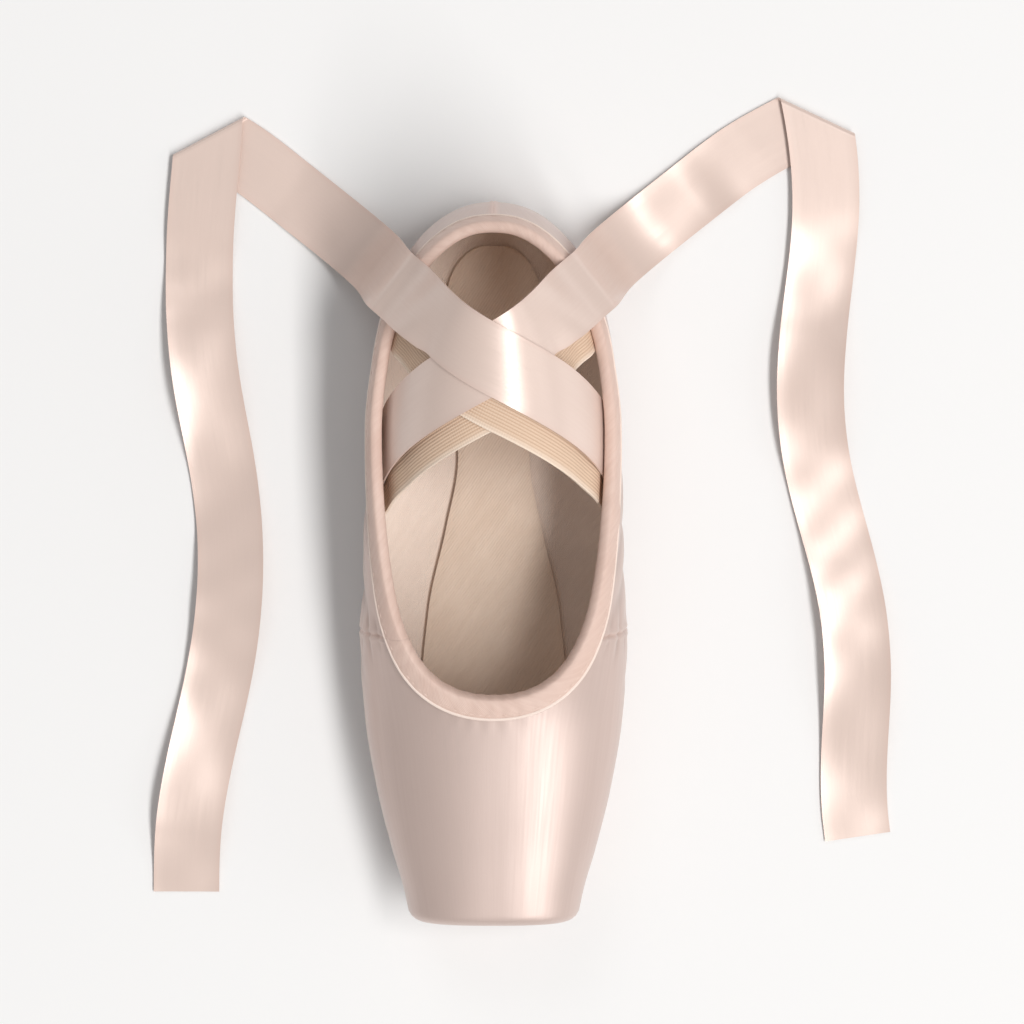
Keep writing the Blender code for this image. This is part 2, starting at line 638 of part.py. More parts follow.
def floor_run(start, heading, side, length, run):
    """Three rows of points and normals of a ribbon that lies on the floor for this length and is folded over once.

    start, heading, side: its middle point, direction and sideways direction where it reaches the floor.
    """
    fold, turn = run["fold"] * RIBBON_LENGTH, math.pi * FOLD_RADIUS
    at = floor_places(length, fold)
    begin = math.atan2(heading[1], heading[0])

    def waves(way):
        return 2 * math.pi * way / (run["wave_length"] * RIBBON_LENGTH)

    def facing(way):
        bend = math.radians(run["bend"]) * ease(way, fold, length)
        return begin + bend + math.radians(run["wave"]) * np.sin(waves(way)) * ease(way, 0, 0.1 * length)

    step = np.diff(np.concatenate([[0], at]))
    middle = facing(at - step / 2)
    xy = start[:2] + np.cumsum(np.stack([np.cos(middle), np.sin(middle)], axis=1) * step[:, None], axis=0)
    at_fold = np.abs(at - fold - turn / 2)
    settle = ease(length - at, 0, 0.1 * length) * ease(at_fold, 1.2 * RIBBON_WIDTH, 2.2 * RIBBON_WIDTH)
    roll = math.radians(run["roll"]) * np.sin(1.3 * waves(at)) * settle
    lift = run["hump"] * RIBBON_WIDTH * np.sin(math.pi * at / (run["hump_length"] * RIBBON_LENGTH)) ** 2 * settle
    rest = RIBBON_THICKNESS / 2 + CLEARANCE
    low = rest + (start[2] - rest) * (1 - ease(at, 0, RIBBON_WIDTH))
    low = low - 2 * FOLD_RADIUS * ease(at, fold + turn + 1.15 * RIBBON_WIDTH, fold + turn + 2.1 * RIBBON_WIDTH)
    z = low + lift + RIBBON_WIDTH / 2 * np.abs(np.sin(roll))
    way = facing(at)
    along = np.stack([np.cos(way), np.sin(way), 0 * way], axis=1)
    level = np.stack([-np.sin(way), np.cos(way), 0 * way], axis=1)
    level = level * np.sign(level[0] @ side)
    cross = level * np.cos(roll)[:, None] + UP * np.sin(roll)[:, None]

    # The crease runs slantwise over the ribbon. Near it the rows slant too, so that they lie along it.
    slant = math.radians(run["fold_turn"] / 2)
    outward = np.sign(level[0] @ np.array((-math.sin(begin), math.cos(begin), 0)))
    near = 1 - ease(at_fold, 0.75 * turn, 1.6 * RIBBON_WIDTH)
    skew = (along * (outward * near / math.tan(slant))[:, None]) * RIBBON_WIDTH / 2
    centre = np.concatenate([xy, z[:, None]], axis=1)
    rows = np.stack([centre + (cross * RIBBON_WIDTH / 2 + skew) * k for k in (-1, 0, 1)], axis=1)
    normals = np.cross(along, cross)
    normals = np.repeat((normals * np.sign(normals[:, 2:]))[:, None], 3, axis=1)
    i = int(np.argmin(np.abs(at - fold)))
    across = along[i, :2] * math.sin(slant) - level[i, :2] * outward * math.cos(slant)
    return folded(rows, normals, xy[i], across)


def flat_rows(middle, side, width):
    """Three rows of points and normals of a flat strip with this middle line."""
    normal = np.cross(np.gradient(middle, axis=0), side)
    normal /= np.linalg.norm(normal, axis=1, keepdims=True)
    side = side / square_half_width(np.stack([middle - side, middle, middle + side], axis=1))[:, None]
    rows = np.stack([middle + side * width / 2 * k for k in (-1, 0, 1)], axis=1)
    return rows, np.repeat(normal[:, None], 3, axis=1)


def strip(name, points, normals, thickness, mirrored, material):
    """A thin closed strap of this thickness about rows of points."""
    top, bottom = points + normals * thickness / 2, points - normals * thickness / 2
    ring = np.concatenate([top, bottom[:, ::-1]], axis=1)
    if mirrored:
        ring = ring * np.array((1, -1, 1))
    count, around = ring.shape[:2]
    return make_object(name, ring.reshape(-1, 3), tube_faces(count, around, False), material)


def build_elastic(name, layers, sewn_layers, mirrored, material):
    """One elastic, arched over the opening as on the foot, with both ends sewn inside."""
    front, rear = LENGTH - ELASTIC_FRONT, LENGTH - ELASTIC_REAR
    points, normals = strap_rows(front, rear, ELASTIC_WIDTH, layers, sewn_layers, False)
    return strip(name, points, normals, ELASTIC_THICKNESS, mirrored, material)


def build_ribbon(name, layers, sewn_layers, mirrored, material):
    """One ribbon: sewn inside the waist, over the elastics and the far collar, then loose on the floor."""
    front, rear = LENGTH - RIBBON_FRONT, LENGTH - RIBBON_REAR
    points, normals = strap_rows(front, rear, RIBBON_WIDTH, layers, sewn_layers, True)
    used = float(np.linalg.norm(np.diff(points[:, 1], axis=0), axis=1).sum())
    heading = points[-1, 1] - points[-3, 1]
    heading = np.array((heading[0], heading[1], 0)) / math.hypot(heading[0], heading[1])
    fall = ribbon_fall(points[-1, 1], heading)[1:]
    used += float(np.linalg.norm(np.diff(fall, axis=0), axis=1).sum()) + FALL_STEP
    level = np.cross(UP, heading)
    on_last = points[-1, 2] - points[-1, 0]
    on_last /= np.linalg.norm(on_last)
    level = level * np.sign(level @ on_last)
    turned = ease(np.arange(1, len(fall) + 1) * FALL_STEP, 0, RIBBON_WIDTH)[:, None]
    side = on_last * (1 - turned) + level * turned
    free_points, free_normals = flat_rows(fall, side, RIBBON_WIDTH)
    free_normals = free_normals * np.sign(free_normals[0, 1] @ normals[-1, 1])
    lie, lie_normals = floor_run(fall[-1], heading, level, RIBBON_LENGTH - used, FLOOR_RUN[name])
    lie_normals = lie_normals * np.sign(lie_normals[0, 1] @ free_normals[-1, 1])
    points = np.concatenate([points, free_points, lie])
    normals = np.concatenate([normals, free_normals, lie_normals])
    return strip(name, points, normals, RIBBON_THICKNESS, mirrored, material)


def build_straps():
    """The elastics lie under the ribbons, and the left of each pair lies on the right."""
    ribbon, elastic = RIBBON_THICKNESS + STRAP_CLEARANCE, ELASTIC_THICKNESS + STRAP_CLEARANCE
    knit = make_material("elastic", (0.80, 0.62, 0.44), 0.85)
    satin = make_material("ribbon", (0.88, 0.78, 0.72), 0.35)
    on_top = RIBBON_THICKNESS / 2
    build_ribbon("ribbon_left", on_top, on_top, False, satin)
    build_ribbon("ribbon_right", on_top + ribbon, on_top, True, satin)
    under = 2 * ribbon + ELASTIC_THICKNESS / 2
    sewn = ribbon + ELASTIC_THICKNESS / 2
    build_elastic("elastic_left", under, sewn, False, knit)
    build_elastic("elastic_right", under + elastic, sewn, True, knit)


def main():
    for obj in list(bpy.data.objects):
        bpy.data.objects.remove(obj, do_unlink=True)
    places = stations(TOE_FAN, SIDE_STEPS, HEEL_FAN)
    profiles = upper_profiles(places)
    build_upper(profiles, [turn for _, turn in places])
    build_binding(profiles)
    build_outsole()
    build_insole()
    build_straps()


main()
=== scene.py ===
"""Looks of an empty pointe shoe that stands on its sole, with its two ribbons lying loose.

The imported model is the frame. Sizes are in metres, +Z is up, the toe points to +X, the floor is
at z = 0 and the origin is under the flat of the forefoot. Places along the shoe are given as the
distance back from the toe tip.
"""

import json
import logging
import math
from collections.abc import Callable, Sequence
from dataclasses import dataclass, field
from enum import Enum

import bmesh
import bpy
import numpy as np
from numpy.typing import NDArray
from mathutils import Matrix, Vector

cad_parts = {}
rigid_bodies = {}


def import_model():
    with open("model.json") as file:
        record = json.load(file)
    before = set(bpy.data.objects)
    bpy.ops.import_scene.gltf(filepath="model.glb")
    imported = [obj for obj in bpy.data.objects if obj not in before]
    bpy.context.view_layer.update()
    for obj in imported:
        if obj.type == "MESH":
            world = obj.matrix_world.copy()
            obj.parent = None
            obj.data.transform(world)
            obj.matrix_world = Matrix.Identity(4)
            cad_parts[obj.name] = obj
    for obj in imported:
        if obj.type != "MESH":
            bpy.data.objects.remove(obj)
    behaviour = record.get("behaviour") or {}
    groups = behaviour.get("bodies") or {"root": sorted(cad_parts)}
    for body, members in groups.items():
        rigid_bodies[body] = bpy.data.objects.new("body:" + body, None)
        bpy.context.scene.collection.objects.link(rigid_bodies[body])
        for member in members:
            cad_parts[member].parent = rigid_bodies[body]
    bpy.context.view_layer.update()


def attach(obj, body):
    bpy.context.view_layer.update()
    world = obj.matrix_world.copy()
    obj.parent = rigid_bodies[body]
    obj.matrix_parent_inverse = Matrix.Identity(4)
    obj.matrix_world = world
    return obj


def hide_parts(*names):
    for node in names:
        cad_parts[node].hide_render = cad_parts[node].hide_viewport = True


Object = bpy.types.Object
Material = bpy.types.Material
Tree = bpy.types.NodeTree
Node = bpy.types.Node
Socket = bpy.types.NodeSocket
Points = NDArray[np.float64]
Laid = tuple[Points, Points]  # points, and the normals there
Place = tuple[float, float, float]
Colour = tuple[float, float, float]
Table = dict[str, tuple[float, ...]]
Value = Socket | float | tuple[float, ...]

log = logging.getLogger("pointe_shoe")
UP = np.array((0.0, 0.0, 1.0))


class Side(Enum):
    """The side of the shoe on which a strap is sewn inside the waist."""

    LEFT = 1
    RIGHT = -1


class Hold(Enum):
    """How a strap is held."""

    DRAPED = "draped"
    STRETCHED = "stretched"


# Small mathematics


def smooth_step(first: Points, last: Points, rise: Points, fall: Points, t: Points) -> Points:
    """Values between two rows of a table or a strip, with the slopes that they have there.

    Args:
        first: Values at the first row.
        last: Values at the next one.
        rise: Slopes at the first row, over the whole step.
        fall: Slopes at the next one, over the whole step.
        t: Places in the step, from 0 to 1.

    Returns:
        The values at those places.
    """
    return (
        first * (1 + 2 * t) * (1 - t) ** 2
        + last * t * t * (3 - 2 * t)
        + rise * t * (1 - t) ** 2
        - fall * t * t * (1 - t)
    )


def curve(places: Sequence[float], values: Sequence[float], at: Points | float) -> Points:
    """A smooth curve through a table's rows, without overshoot.

    Args:
        places: Rising places of the rows.
        values: Value of each row.
        at: Where the curve is read.

    Returns:
        The curve's values there.
    """
    x, y, at = np.asarray(places, float), np.asarray(values, float), np.asarray(at, float)
    step, slope = np.diff(x), np.diff(y) / np.diff(x)
    tangent = np.zeros(len(x))
    total = slope[:-1] + slope[1:]
    product = slope[:-1] * slope[1:]
    tangent[1:-1] = np.where(product > 0, 2 * product / np.where(total == 0, 1, total), 0)
    tangent[0], tangent[-1] = slope[0], slope[-1]
    i = np.clip(np.searchsorted(x, at, side="right") - 1, 0, len(x) - 2)
    t = np.clip((at - x[i]) / step[i], 0, 1)
    return smooth_step(y[i], y[i + 1], step[i] * tangent[i], step[i] * tangent[i + 1], t)


def read(table: Table, column: str, share: Points | float) -> Points:
    """A column of a table whose first column is place, at this share of the way."""
    return curve(table["place"], table[column], share)


def ease(value: Points | float, start: float, end: float) -> Points:
    """0 before start, 1 after end, smooth between.

    Args:
        value: What is eased.
        start: Where the rise begins.
        end: Where the rise ends.

    Returns:
        The eased values.
    """
    t = np.clip((np.asarray(value, float) - start) / (end - start), 0, 1)
    return t * t * (3 - 2 * t)


def bell(value: Points | float, width: Points | float) -> Points:
    """1 at 0, falling off to both sides over this width."""
    return np.exp(-((np.asarray(value, float) / width) ** 2))


def arc_lengths(line: Points) -> Points:
    """Distance along a line of points from its first point."""
    return np.concatenate([[0], np.cumsum(np.linalg.norm(np.diff(line, axis=0), axis=1))])


def ring_lengths(ring: Points) -> Points:
    """Distance along a closed line from its first point, at each of its points."""
    return arc_lengths(np.concatenate([ring, ring[:1]]))[:-1]


def row_lengths(grid: Points) -> Points:
    """Distance along each row of a grid of points from the row's first point."""
    step = np.linalg.norm(np.diff(grid, axis=1), axis=2)
    return np.concatenate([np.zeros((len(grid), 1)), np.cumsum(step, axis=1)], axis=1)


def unit(vectors: Points) -> Points:
    """Vectors of length 1 in the same directions."""
    return vectors / np.linalg.norm(vectors, axis=-1, keepdims=True)


def grid_normals(grid: Points) -> Points:
    """Outward normals of a grid of points that closes round its first axis."""
    around = np.roll(grid, -1, axis=0) - np.roll(grid, 1, axis=0)
    normal = np.cross(around, np.gradient(grid, axis=1))
    return normal / np.maximum(np.linalg.norm(normal, axis=2, keepdims=True), 1e-12)


@dataclass(frozen=True)
class Ripple:
    """A low wave along an edge, whose pitch drifts as gathered cloth's does."""

    height: float
    pitch: float
    drift: float
    drift_pitch: float

    def wave(self, way: Points) -> Points:
        """The wave at these distances, from -1 to 1."""
        turn = 2 * math.pi * way
        return np.sin(turn / self.pitch + self.drift * np.sin(turn / self.drift_pitch))


def refined(values: Points, rows: Points, step: float, sides: Points) -> Points:
    """Values on a strip of three rows of points, made finer along and across.

    Args:
        values: The strip's points or its normals, shaped (along, 3, 3).
        rows: Points of the strip, of the same shape.
        step: How far apart the finer places may be. Closer rows stay closer.
        sides: Places across, from -1 to 1.

    Returns:
        Values shaped (along, len(sides), 3).
    """
    s = sides[None, :, None]
    left, middle, right = values[:, :1], values[:, 1:2], values[:, 2:]
    wide = left * s * (s - 1) / 2 + middle * (1 - s * s) + right * s * (s + 1) / 2
    way = arc_lengths((rows[:, 0] + 4 * rows[:, 1] + rows[:, 2]) / 6)
    tangent = np.gradient(wide, way, axis=0)
    parts = np.maximum(np.ceil(np.diff(way) / step).astype(int), 2)
    i = np.repeat(np.arange(len(parts)), parts)
    t = np.concatenate([np.arange(n) / n for n in parts])[:, None, None]
    span = np.diff(way)[i][:, None, None]
    fine = smooth_step(wide[i], wide[i + 1], span * tangent[i], span * tangent[i + 1], t)
    return np.concatenate([fine, wide[-1:]])


# Meshes


def tube_faces(count: int, around: int, closed: bool) -> list[tuple[int, ...]]:
    """Faces of a closed section carried through a row of places.

    Args:
        count: How many places.
        around: Points of the section.
        closed: Whether the last place joins the first.

    Returns:
        Corner numbers of each face, with a cap at each end of an open tube.
    """
    i = np.arange(count if closed else count - 1)[:, None]
    k = np.arange(around)[None, :]
    j, n = (i + 1) % count, (k + 1) % around
    corners = np.stack(
        np.broadcast_arrays(i * around + k, j * around + k, j * around + n, i * around + n), axis=-1
    )
    faces = [tuple(face) for face in corners.reshape(-1, 4).tolist()]
    if not closed:
        faces.append(tuple(range(around)))
        faces.append(tuple(range((count - 1) * around, count * around)))
    return faces


@dataclass
class Mesh:
    """A mesh in the making: points, faces and what its materials read."""

    verts: Points
    faces: list[tuple[int, ...]]
    uv: Points | None = None
    masks: dict[str, Points] = field(default_factory=dict)
    slots: NDArray[np.int64] | None = None

    def piece(self, name: str, materials: Sequence[Material], sharp: float = 50) -> Object:
        """The finished piece, in the scene, with its faces outwards.

        Args:
            name: Name of the piece.
            materials: Its materials, in the order of the face slots.
            sharp: Angle in degrees from which an edge isn't shaded smooth.

        Returns:
            The object.
        """
        mesh = bpy.data.meshes.new(name)
        mesh.from_pydata(self.verts.reshape(-1, 3).tolist(), [], self.faces)
        for material in materials:
            mesh.materials.append(material)
        if self.slots is not None:
            mesh.polygons.foreach_set("material_index", self.slots.astype(np.int32))
        corners = np.empty(len(mesh.loops), np.int32)
        mesh.loops.foreach_get("vertex_index", corners)
        if self.uv is not None:
            layer = mesh.uv_layers.new(name="cloth")
            layer.data.foreach_set("uv", self.uv.reshape(-1, 2)[corners].astype(np.float32).ravel())
        for mask, values in self.masks.items():
            attribute = mesh.attributes.new(mask, "FLOAT", "POINT")
            attribute.data.foreach_set("value", np.asarray(values, np.float32).ravel())
        shell = bmesh.new()
        shell.from_mesh(mesh)
        if shell.calc_volume(signed=True) < 0:
            bmesh.ops.reverse_faces(shell, faces=shell.faces)
            shell.to_mesh(mesh)
        shell.free()
        mesh.shade_smooth()
        mesh.set_sharp_from_angle(angle=math.radians(sharp))
        mesh.update()
        obj = bpy.data.objects.new(name, mesh)
        bpy.context.scene.collection.objects.link(obj)
        return obj


# Shader building


def srgb(red: int, green: int, blue: int) -> Colour:
    """The linear colour of a screen colour given from 0 to 255."""
    shares = [c / 255 for c in (red, green, blue)]
    return tuple(c / 12.92 if c <= 0.04045 else ((c + 0.055) / 1.055) ** 2.4 for c in shares)


MIX_INPUTS = (0, 6, 7)
MIX_RESULT = 2


class Wiring:
    """Adds nodes to a tree and joins them."""

    def __init__(self, tree: Tree) -> None:
        """Starts on this tree."""
        self.tree = tree

    def put(self, socket: Socket, value: Value) -> None:
        """Joins a socket to another one, or gives it a number or a colour."""
        if isinstance(value, Socket):
            self.tree.links.new(value, socket)
        elif isinstance(value, tuple) and len(value) == 3 and socket.type == "RGBA":
            socket.default_value = (*value, 1.0)
        else:
            socket.default_value = value

    def node(
        self, kind: str, inputs: dict[str | int, Value] | None = None, **settings: object
    ) -> Node:
        """A new node.

        Args:
            kind: Blender's name of the node type.
            inputs: Values or sockets by the input's name or number.
            settings: Properties of the node.

        Returns:
            The node.
        """
        node = self.tree.nodes.new(kind)
        for name, setting in settings.items():
            setattr(node, name, setting)
        for key, value in (inputs or {}).items():
            self.put(node.inputs[key], value)
        return node

    def maths(self, operation: str, first: Value, second: Value) -> Socket:
        """The result of a Math node."""
        return self.node("ShaderNodeMath", {0: first, 1: second}, operation=operation).outputs[0]

    def times(self, first: Value, second: Value) -> Socket:
        """One value times another."""
        return self.maths("MULTIPLY", first, second)

    def sine(self, value: Value) -> Socket:
        """The sine of an angle."""
        return self.maths("SINE", value, 0.0)

    def mix(self, factor: Value, first: Value, second: Value) -> Socket:
        """A blend of two colours."""
        node = self.node("ShaderNodeMix", data_type="RGBA")
        for socket, value in zip(MIX_INPUTS, (factor, first, second), strict=True):
            self.put(node.inputs[socket], value)
        return node.outputs[MIX_RESULT]

    def ramp(self, value: Value, low: float, high: float, start: float, end: float) -> Socket:
        """A value moved from one range to another and kept inside it."""
        inputs = {0: value, 1: low, 2: high, 3: start, 4: end}
        return self.node("ShaderNodeMapRange", inputs).outputs[0]

    def noise(self, vector: Value, scale: Value, detail: float) -> Socket:
        """Cloudy noise from 0 to 1."""
        inputs = {"Vector": vector, "Scale": scale, "Detail": detail}
        return self.node("ShaderNodeTexNoise", inputs).outputs["Fac"]

    def mask(self, name: str) -> Socket:
        """A value that the mesh carries at its points."""
        return self.node("ShaderNodeAttribute", attribute_name=name).outputs["Fac"]

    def cloth(self) -> Socket:
        """Coordinates that follow the cloth, along it in U and across it in V."""
        return self.node("ShaderNodeUVMap", uv_map="cloth").outputs[0]

    def place(self) -> Socket:
        """Coordinates of the shoe's own frame."""
        return self.node("ShaderNodeTexCoord").outputs["Object"]

    def slanted(self, vector: Socket, turn: Place) -> Socket:
        """Coordinates turned by these angles."""
        return self.node("ShaderNodeMapping", {"Vector": vector, "Rotation": turn}).outputs[0]

    def finish(self, shader: Node, colour: Value, roughness: Value, relief: Value) -> None:
        """Gives a shader its colour, roughness and relief."""
        for name, value in (("Base Color", colour), ("Roughness", roughness), ("Normal", relief)):
            self.put(shader.inputs[name], value)


class Effects:
    """Shader node groups that several finishes share, each built once."""

    def __init__(self) -> None:
        """Builds the groups."""
        self.weave = self._weave()
        self.tone = self._tone()
        self.grain = self._grain()
        self.soil = self._soil()

    @staticmethod
    def _group(name: str, inputs: dict[str, float | None], outputs: Sequence[str]) -> tuple:
        """An empty group.

        Args:
            name: Name of the group.
            inputs: Default of each number input, or None for a vector.
            outputs: Names of its number outputs.

        Returns:
            The tree, its wiring, its input node and its output node.
        """
        tree = bpy.data.node_groups.new(name, "ShaderNodeTree")
        for label, default in inputs.items():
            kind = "NodeSocketVector" if default is None else "NodeSocketFloat"
            socket = tree.interface.new_socket(label, in_out="INPUT", socket_type=kind)
            if default is not None:
                socket.default_value = default
        for label in outputs:
            tree.interface.new_socket(label, in_out="OUTPUT", socket_type="NodeSocketFloat")
        wiring = Wiring(tree)
        return tree, wiring, wiring.node("NodeGroupInput"), wiring.node("NodeGroupOutput")

    def _weave(self) -> Tree:
        """Threads: fine ridges across the cloth's V and long floats along its U."""
        tree, w, given, made = self._group(
            "Woven threads", {"Vector": None, "Pitch": 0.0004, "Float": 12.0}, ("Height", "Streak")
        )
        parts = w.node("ShaderNodeSeparateXYZ", {0: given.outputs["Vector"]})
        pitch, floats = given.outputs["Pitch"], given.outputs["Float"]
        across = w.maths("DIVIDE", parts.outputs[1], pitch)
        along = w.maths("DIVIDE", parts.outputs[0], w.times(pitch, floats))
        ridge = w.sine(w.times(across, 2 * math.pi))
        place = w.node("ShaderNodeCombineXYZ", {0: along, 1: across}).outputs[0]
        slub = w.noise(place, 1.0, 1.0)
        wide = w.node("ShaderNodeCombineXYZ", {0: w.times(along, 0.22), 1: w.times(across, 0.35)})
        streak = w.noise(wide.outputs[0], 1.0, 3.0)
        height = w.maths("ADD", w.times(ridge, 0.22), w.times(slub, 0.8))
        w.put(made.inputs["Height"], height)
        w.put(made.inputs["Streak"], streak)
        return tree

    def _tone(self) -> Tree:
        """Soft clouds of tone over a surface."""
        tree, w, given, made = self._group("Soft tone", {"Vector": None, "Size": 0.03}, ("Cloud",))
        scale = w.maths("DIVIDE", 1.0, given.outputs["Size"])
        cloud = w.noise(given.outputs["Vector"], scale, 4.0)
        w.put(made.inputs["Cloud"], w.ramp(cloud, 0.3, 0.7, 0.0, 1.0))
        return tree

    def _grain(self) -> Tree:
        """Leather grain: small cells with a fine tooth."""
        tree, w, given, made = self._group(
            "Leather grain", {"Vector": None, "Size": 0.0006}, ("Height", "Pores")
        )
        scale = w.maths("DIVIDE", 1.0, given.outputs["Size"])
        cells = w.node("ShaderNodeTexVoronoi", {"Vector": given.outputs["Vector"], "Scale": scale})
        tooth = w.noise(given.outputs["Vector"], scale, 5.0)
        pores = w.ramp(cells.outputs["Distance"], 0.0, 0.35, 1.0, 0.0)
        height = w.maths("SUBTRACT", w.times(tooth, 0.7), w.times(pores, 0.4))
        w.put(made.inputs["Height"], height)
        w.put(made.inputs["Pores"], pores)
        return tree

    def _soil(self) -> Tree:
        """Light rubbing and dust where a mask says the piece meets the floor."""
        tree, w, given, made = self._group("Rubbing", {"Vector": None, "Reach": 0.0}, ("Amount",))
        patch = w.ramp(w.noise(given.outputs["Vector"], 170.0, 6.0), 0.42, 0.68, 0.0, 1.0)
        w.put(made.inputs["Amount"], w.times(patch, given.outputs["Reach"]))
        return tree


@dataclass(frozen=True)
class Coating:
    """The constants of a surface that are the same all over it."""

    specular: float = 0.5
    sheen: float = 0.0
    sheen_roughness: float = 0.5
    sheen_tint: Colour = (1.0, 1.0, 1.0)
    coat: float = 0.0
    coat_roughness: float = 0.3

    def lay_on(self, shader: Node) -> None:
        """Sets them on the shader's own sockets."""
        constants = {
            "Specular IOR Level": self.specular, "Sheen Weight": self.sheen,
            "Sheen Roughness": self.sheen_roughness, "Sheen Tint": (*self.sheen_tint, 1.0),
            "Coat Weight": self.coat, "Coat Roughness": self.coat_roughness,
        }
        for name, value in constants.items():
            shader.inputs[name].default_value = value


def new_material(name: str, coating: Coating) -> tuple[Material, Wiring, Node]:
    """A new material.

    Args:
        name: Name of the material.
        coating: Its constants.

    Returns:
        The material, the wiring of its tree and its shader node.
    """
    material = bpy.data.materials.new(name)
    material.use_nodes = True
    shader = material.node_tree.nodes["Principled BSDF"]
    coating.lay_on(shader)
    return material, Wiring(material.node_tree), shader


def grouped(w: Wiring, tree: Tree, inputs: dict[str, Value]) -> Node:
    """A node that places a group, with its own values."""
    node = w.node("ShaderNodeGroup", node_tree=tree)
    for name, value in inputs.items():
        w.put(node.inputs[name], value)
    return node


def bumped(w: Wiring, height: Value, depth: float, strength: float) -> Socket:
    """A normal from a height, for a relief of this depth in metres."""
    inputs = {"Strength": strength, "Distance": depth, "Height": height}
    return w.node("ShaderNodeBump", inputs).outputs[0]


@dataclass(frozen=True)
class Satin:
    """Woven satin with a silky gloss, with painted shade in its creases and pinker at its seams."""

    name: str
    base: Colour
    crease: Colour
    seam: Colour
    thread: float
    roughness: float
    lustre: float
    coating: Coating

    def material(self, effects: Effects) -> Material:
        """Builds the material.

        Args:
            effects: The shared node groups.

        Returns:
            The material. It reads the UV map and the masks crease (for painted shade), seam and
            rub.
        """
        material, w, shader = new_material(self.name, self.coating)
        cloth = w.cloth()
        place = w.place()
        weave = grouped(w, effects.weave, {"Vector": cloth, "Pitch": self.thread, "Float": 26.0})
        tone = grouped(w, effects.tone, {"Vector": place, "Size": 0.035}).outputs[0]
        rub = grouped(w, effects.soil, {"Vector": place, "Reach": w.mask("rub")}).outputs[0]
        streak = weave.outputs["Streak"]
        light = tuple(min(1.0, c * 1.05) for c in self.base)
        colour = w.mix(w.times(tone, 0.6), self.base, light)
        colour = w.mix(w.ramp(streak, 0.35, 0.65, 0.0, 0.05), colour, self.crease)
        # Painted shade: darker where the crease mask marks troughs of the relief.
        colour = w.mix(w.ramp(w.mask("crease"), 0.0, 1.0, 0.0, 0.75), colour, self.crease)
        colour = w.mix(w.mask("seam"), colour, self.seam)
        colour = w.mix(w.times(rub, 0.35), colour, self.crease)
        shader.inputs["Metallic"].default_value = self.lustre
        rough = w.ramp(streak, 0.3, 0.7, self.roughness - 0.04, self.roughness + 0.06)
        relief = bumped(w, weave.outputs["Height"], 0.2 * self.thread, 0.16)
        w.finish(shader, colour, w.maths("ADD", rough, w.times(rub, 0.25)), relief)
        return material


@dataclass(frozen=True)
class Tape:
    """Folded bias tape: a matt weave that runs slantwise, with a painted highlight along its piped
    edge.
    """

    name: str
    base: Colour
    edge: Colour
    piping_highlight: Colour
    thread: float
    roughness: float
    coating: Coating

    def material(self, effects: Effects) -> Material:
        """Builds the material, which reads the UV map and the masks pipe (painted highlight) and
        crease (painted shade).
        """
        material, w, shader = new_material(self.name, self.coating)
        cloth = w.cloth()
        slant = w.slanted(cloth, (0.0, 0.0, math.radians(45)))
        place = w.place()
        weave = grouped(w, effects.weave, {"Vector": slant, "Pitch": self.thread, "Float": 5.0})
        tone = grouped(w, effects.tone, {"Vector": place, "Size": 0.018}).outputs[0]
        colour = w.mix(w.times(tone, 0.22), self.base, self.edge)
        colour = w.mix(w.ramp(weave.outputs["Streak"], 0.35, 0.65, 0.0, 0.18), colour, self.edge)
        # Painted shade where the crease mask is; the binding's crease mask is zero.
        colour = w.mix(w.ramp(w.mask("crease"), 0.0, 1.0, 0.0, 0.7), colour, self.edge)
        # Painted highlight: paler along the piped bead, where the pipe mask is.
        colour = w.mix(w.times(w.mask("pipe"), 0.85), colour, self.piping_highlight)
        rough = w.ramp(tone, 0.0, 1.0, self.roughness - 0.05, self.roughness + 0.05)
        relief = bumped(w, weave.outputs["Height"], 0.4 * self.thread, 0.6)
        w.finish(shader, colour, rough, relief)
        return material


@dataclass(frozen=True)
class Knit:
    """Elastic webbing: fine ribs along it with painted shade in their grooves, between lighter
    corded edges.
    """

    name: str
    base: Colour
    rib_shade_and_fuzz: Colour
    cord: Colour
    rib: float
    coating: Coating

    def material(self, effects: Effects) -> Material:
        """Builds the material, which reads the UV map and the mask edge."""
        material, w, shader = new_material(self.name, self.coating)
        cloth = w.cloth()
        parts = w.node("ShaderNodeSeparateXYZ", {0: cloth})
        rib = w.sine(w.times(parts.outputs[1], 2 * math.pi / self.rib))
        knot = w.sine(w.times(parts.outputs[0], 2 * math.pi / (0.8 * self.rib)))
        fuzz = w.noise(cloth, 2600.0, 3.0)
        weft = w.maths("ADD", w.times(rib, 0.5), w.times(knot, 0.22))
        height = w.maths("ADD", weft, w.times(fuzz, 0.35))
        # Painted shade: darker in the grooves between the ribs; the same colour also gives a random
        # fuzz.
        colour = w.mix(w.ramp(rib, -1.0, 0.2, 0.75, 0.0), self.base, self.rib_shade_and_fuzz)
        colour = w.mix(w.ramp(fuzz, 0.35, 0.75, 0.0, 0.2), colour, self.rib_shade_and_fuzz)
        colour = w.mix(w.mask("edge"), colour, self.cord)
        relief = bumped(w, height, 0.12 * self.rib, 0.8)
        w.finish(shader, colour, w.ramp(fuzz, 0.3, 0.7, 0.72, 0.9), relief)
        return material


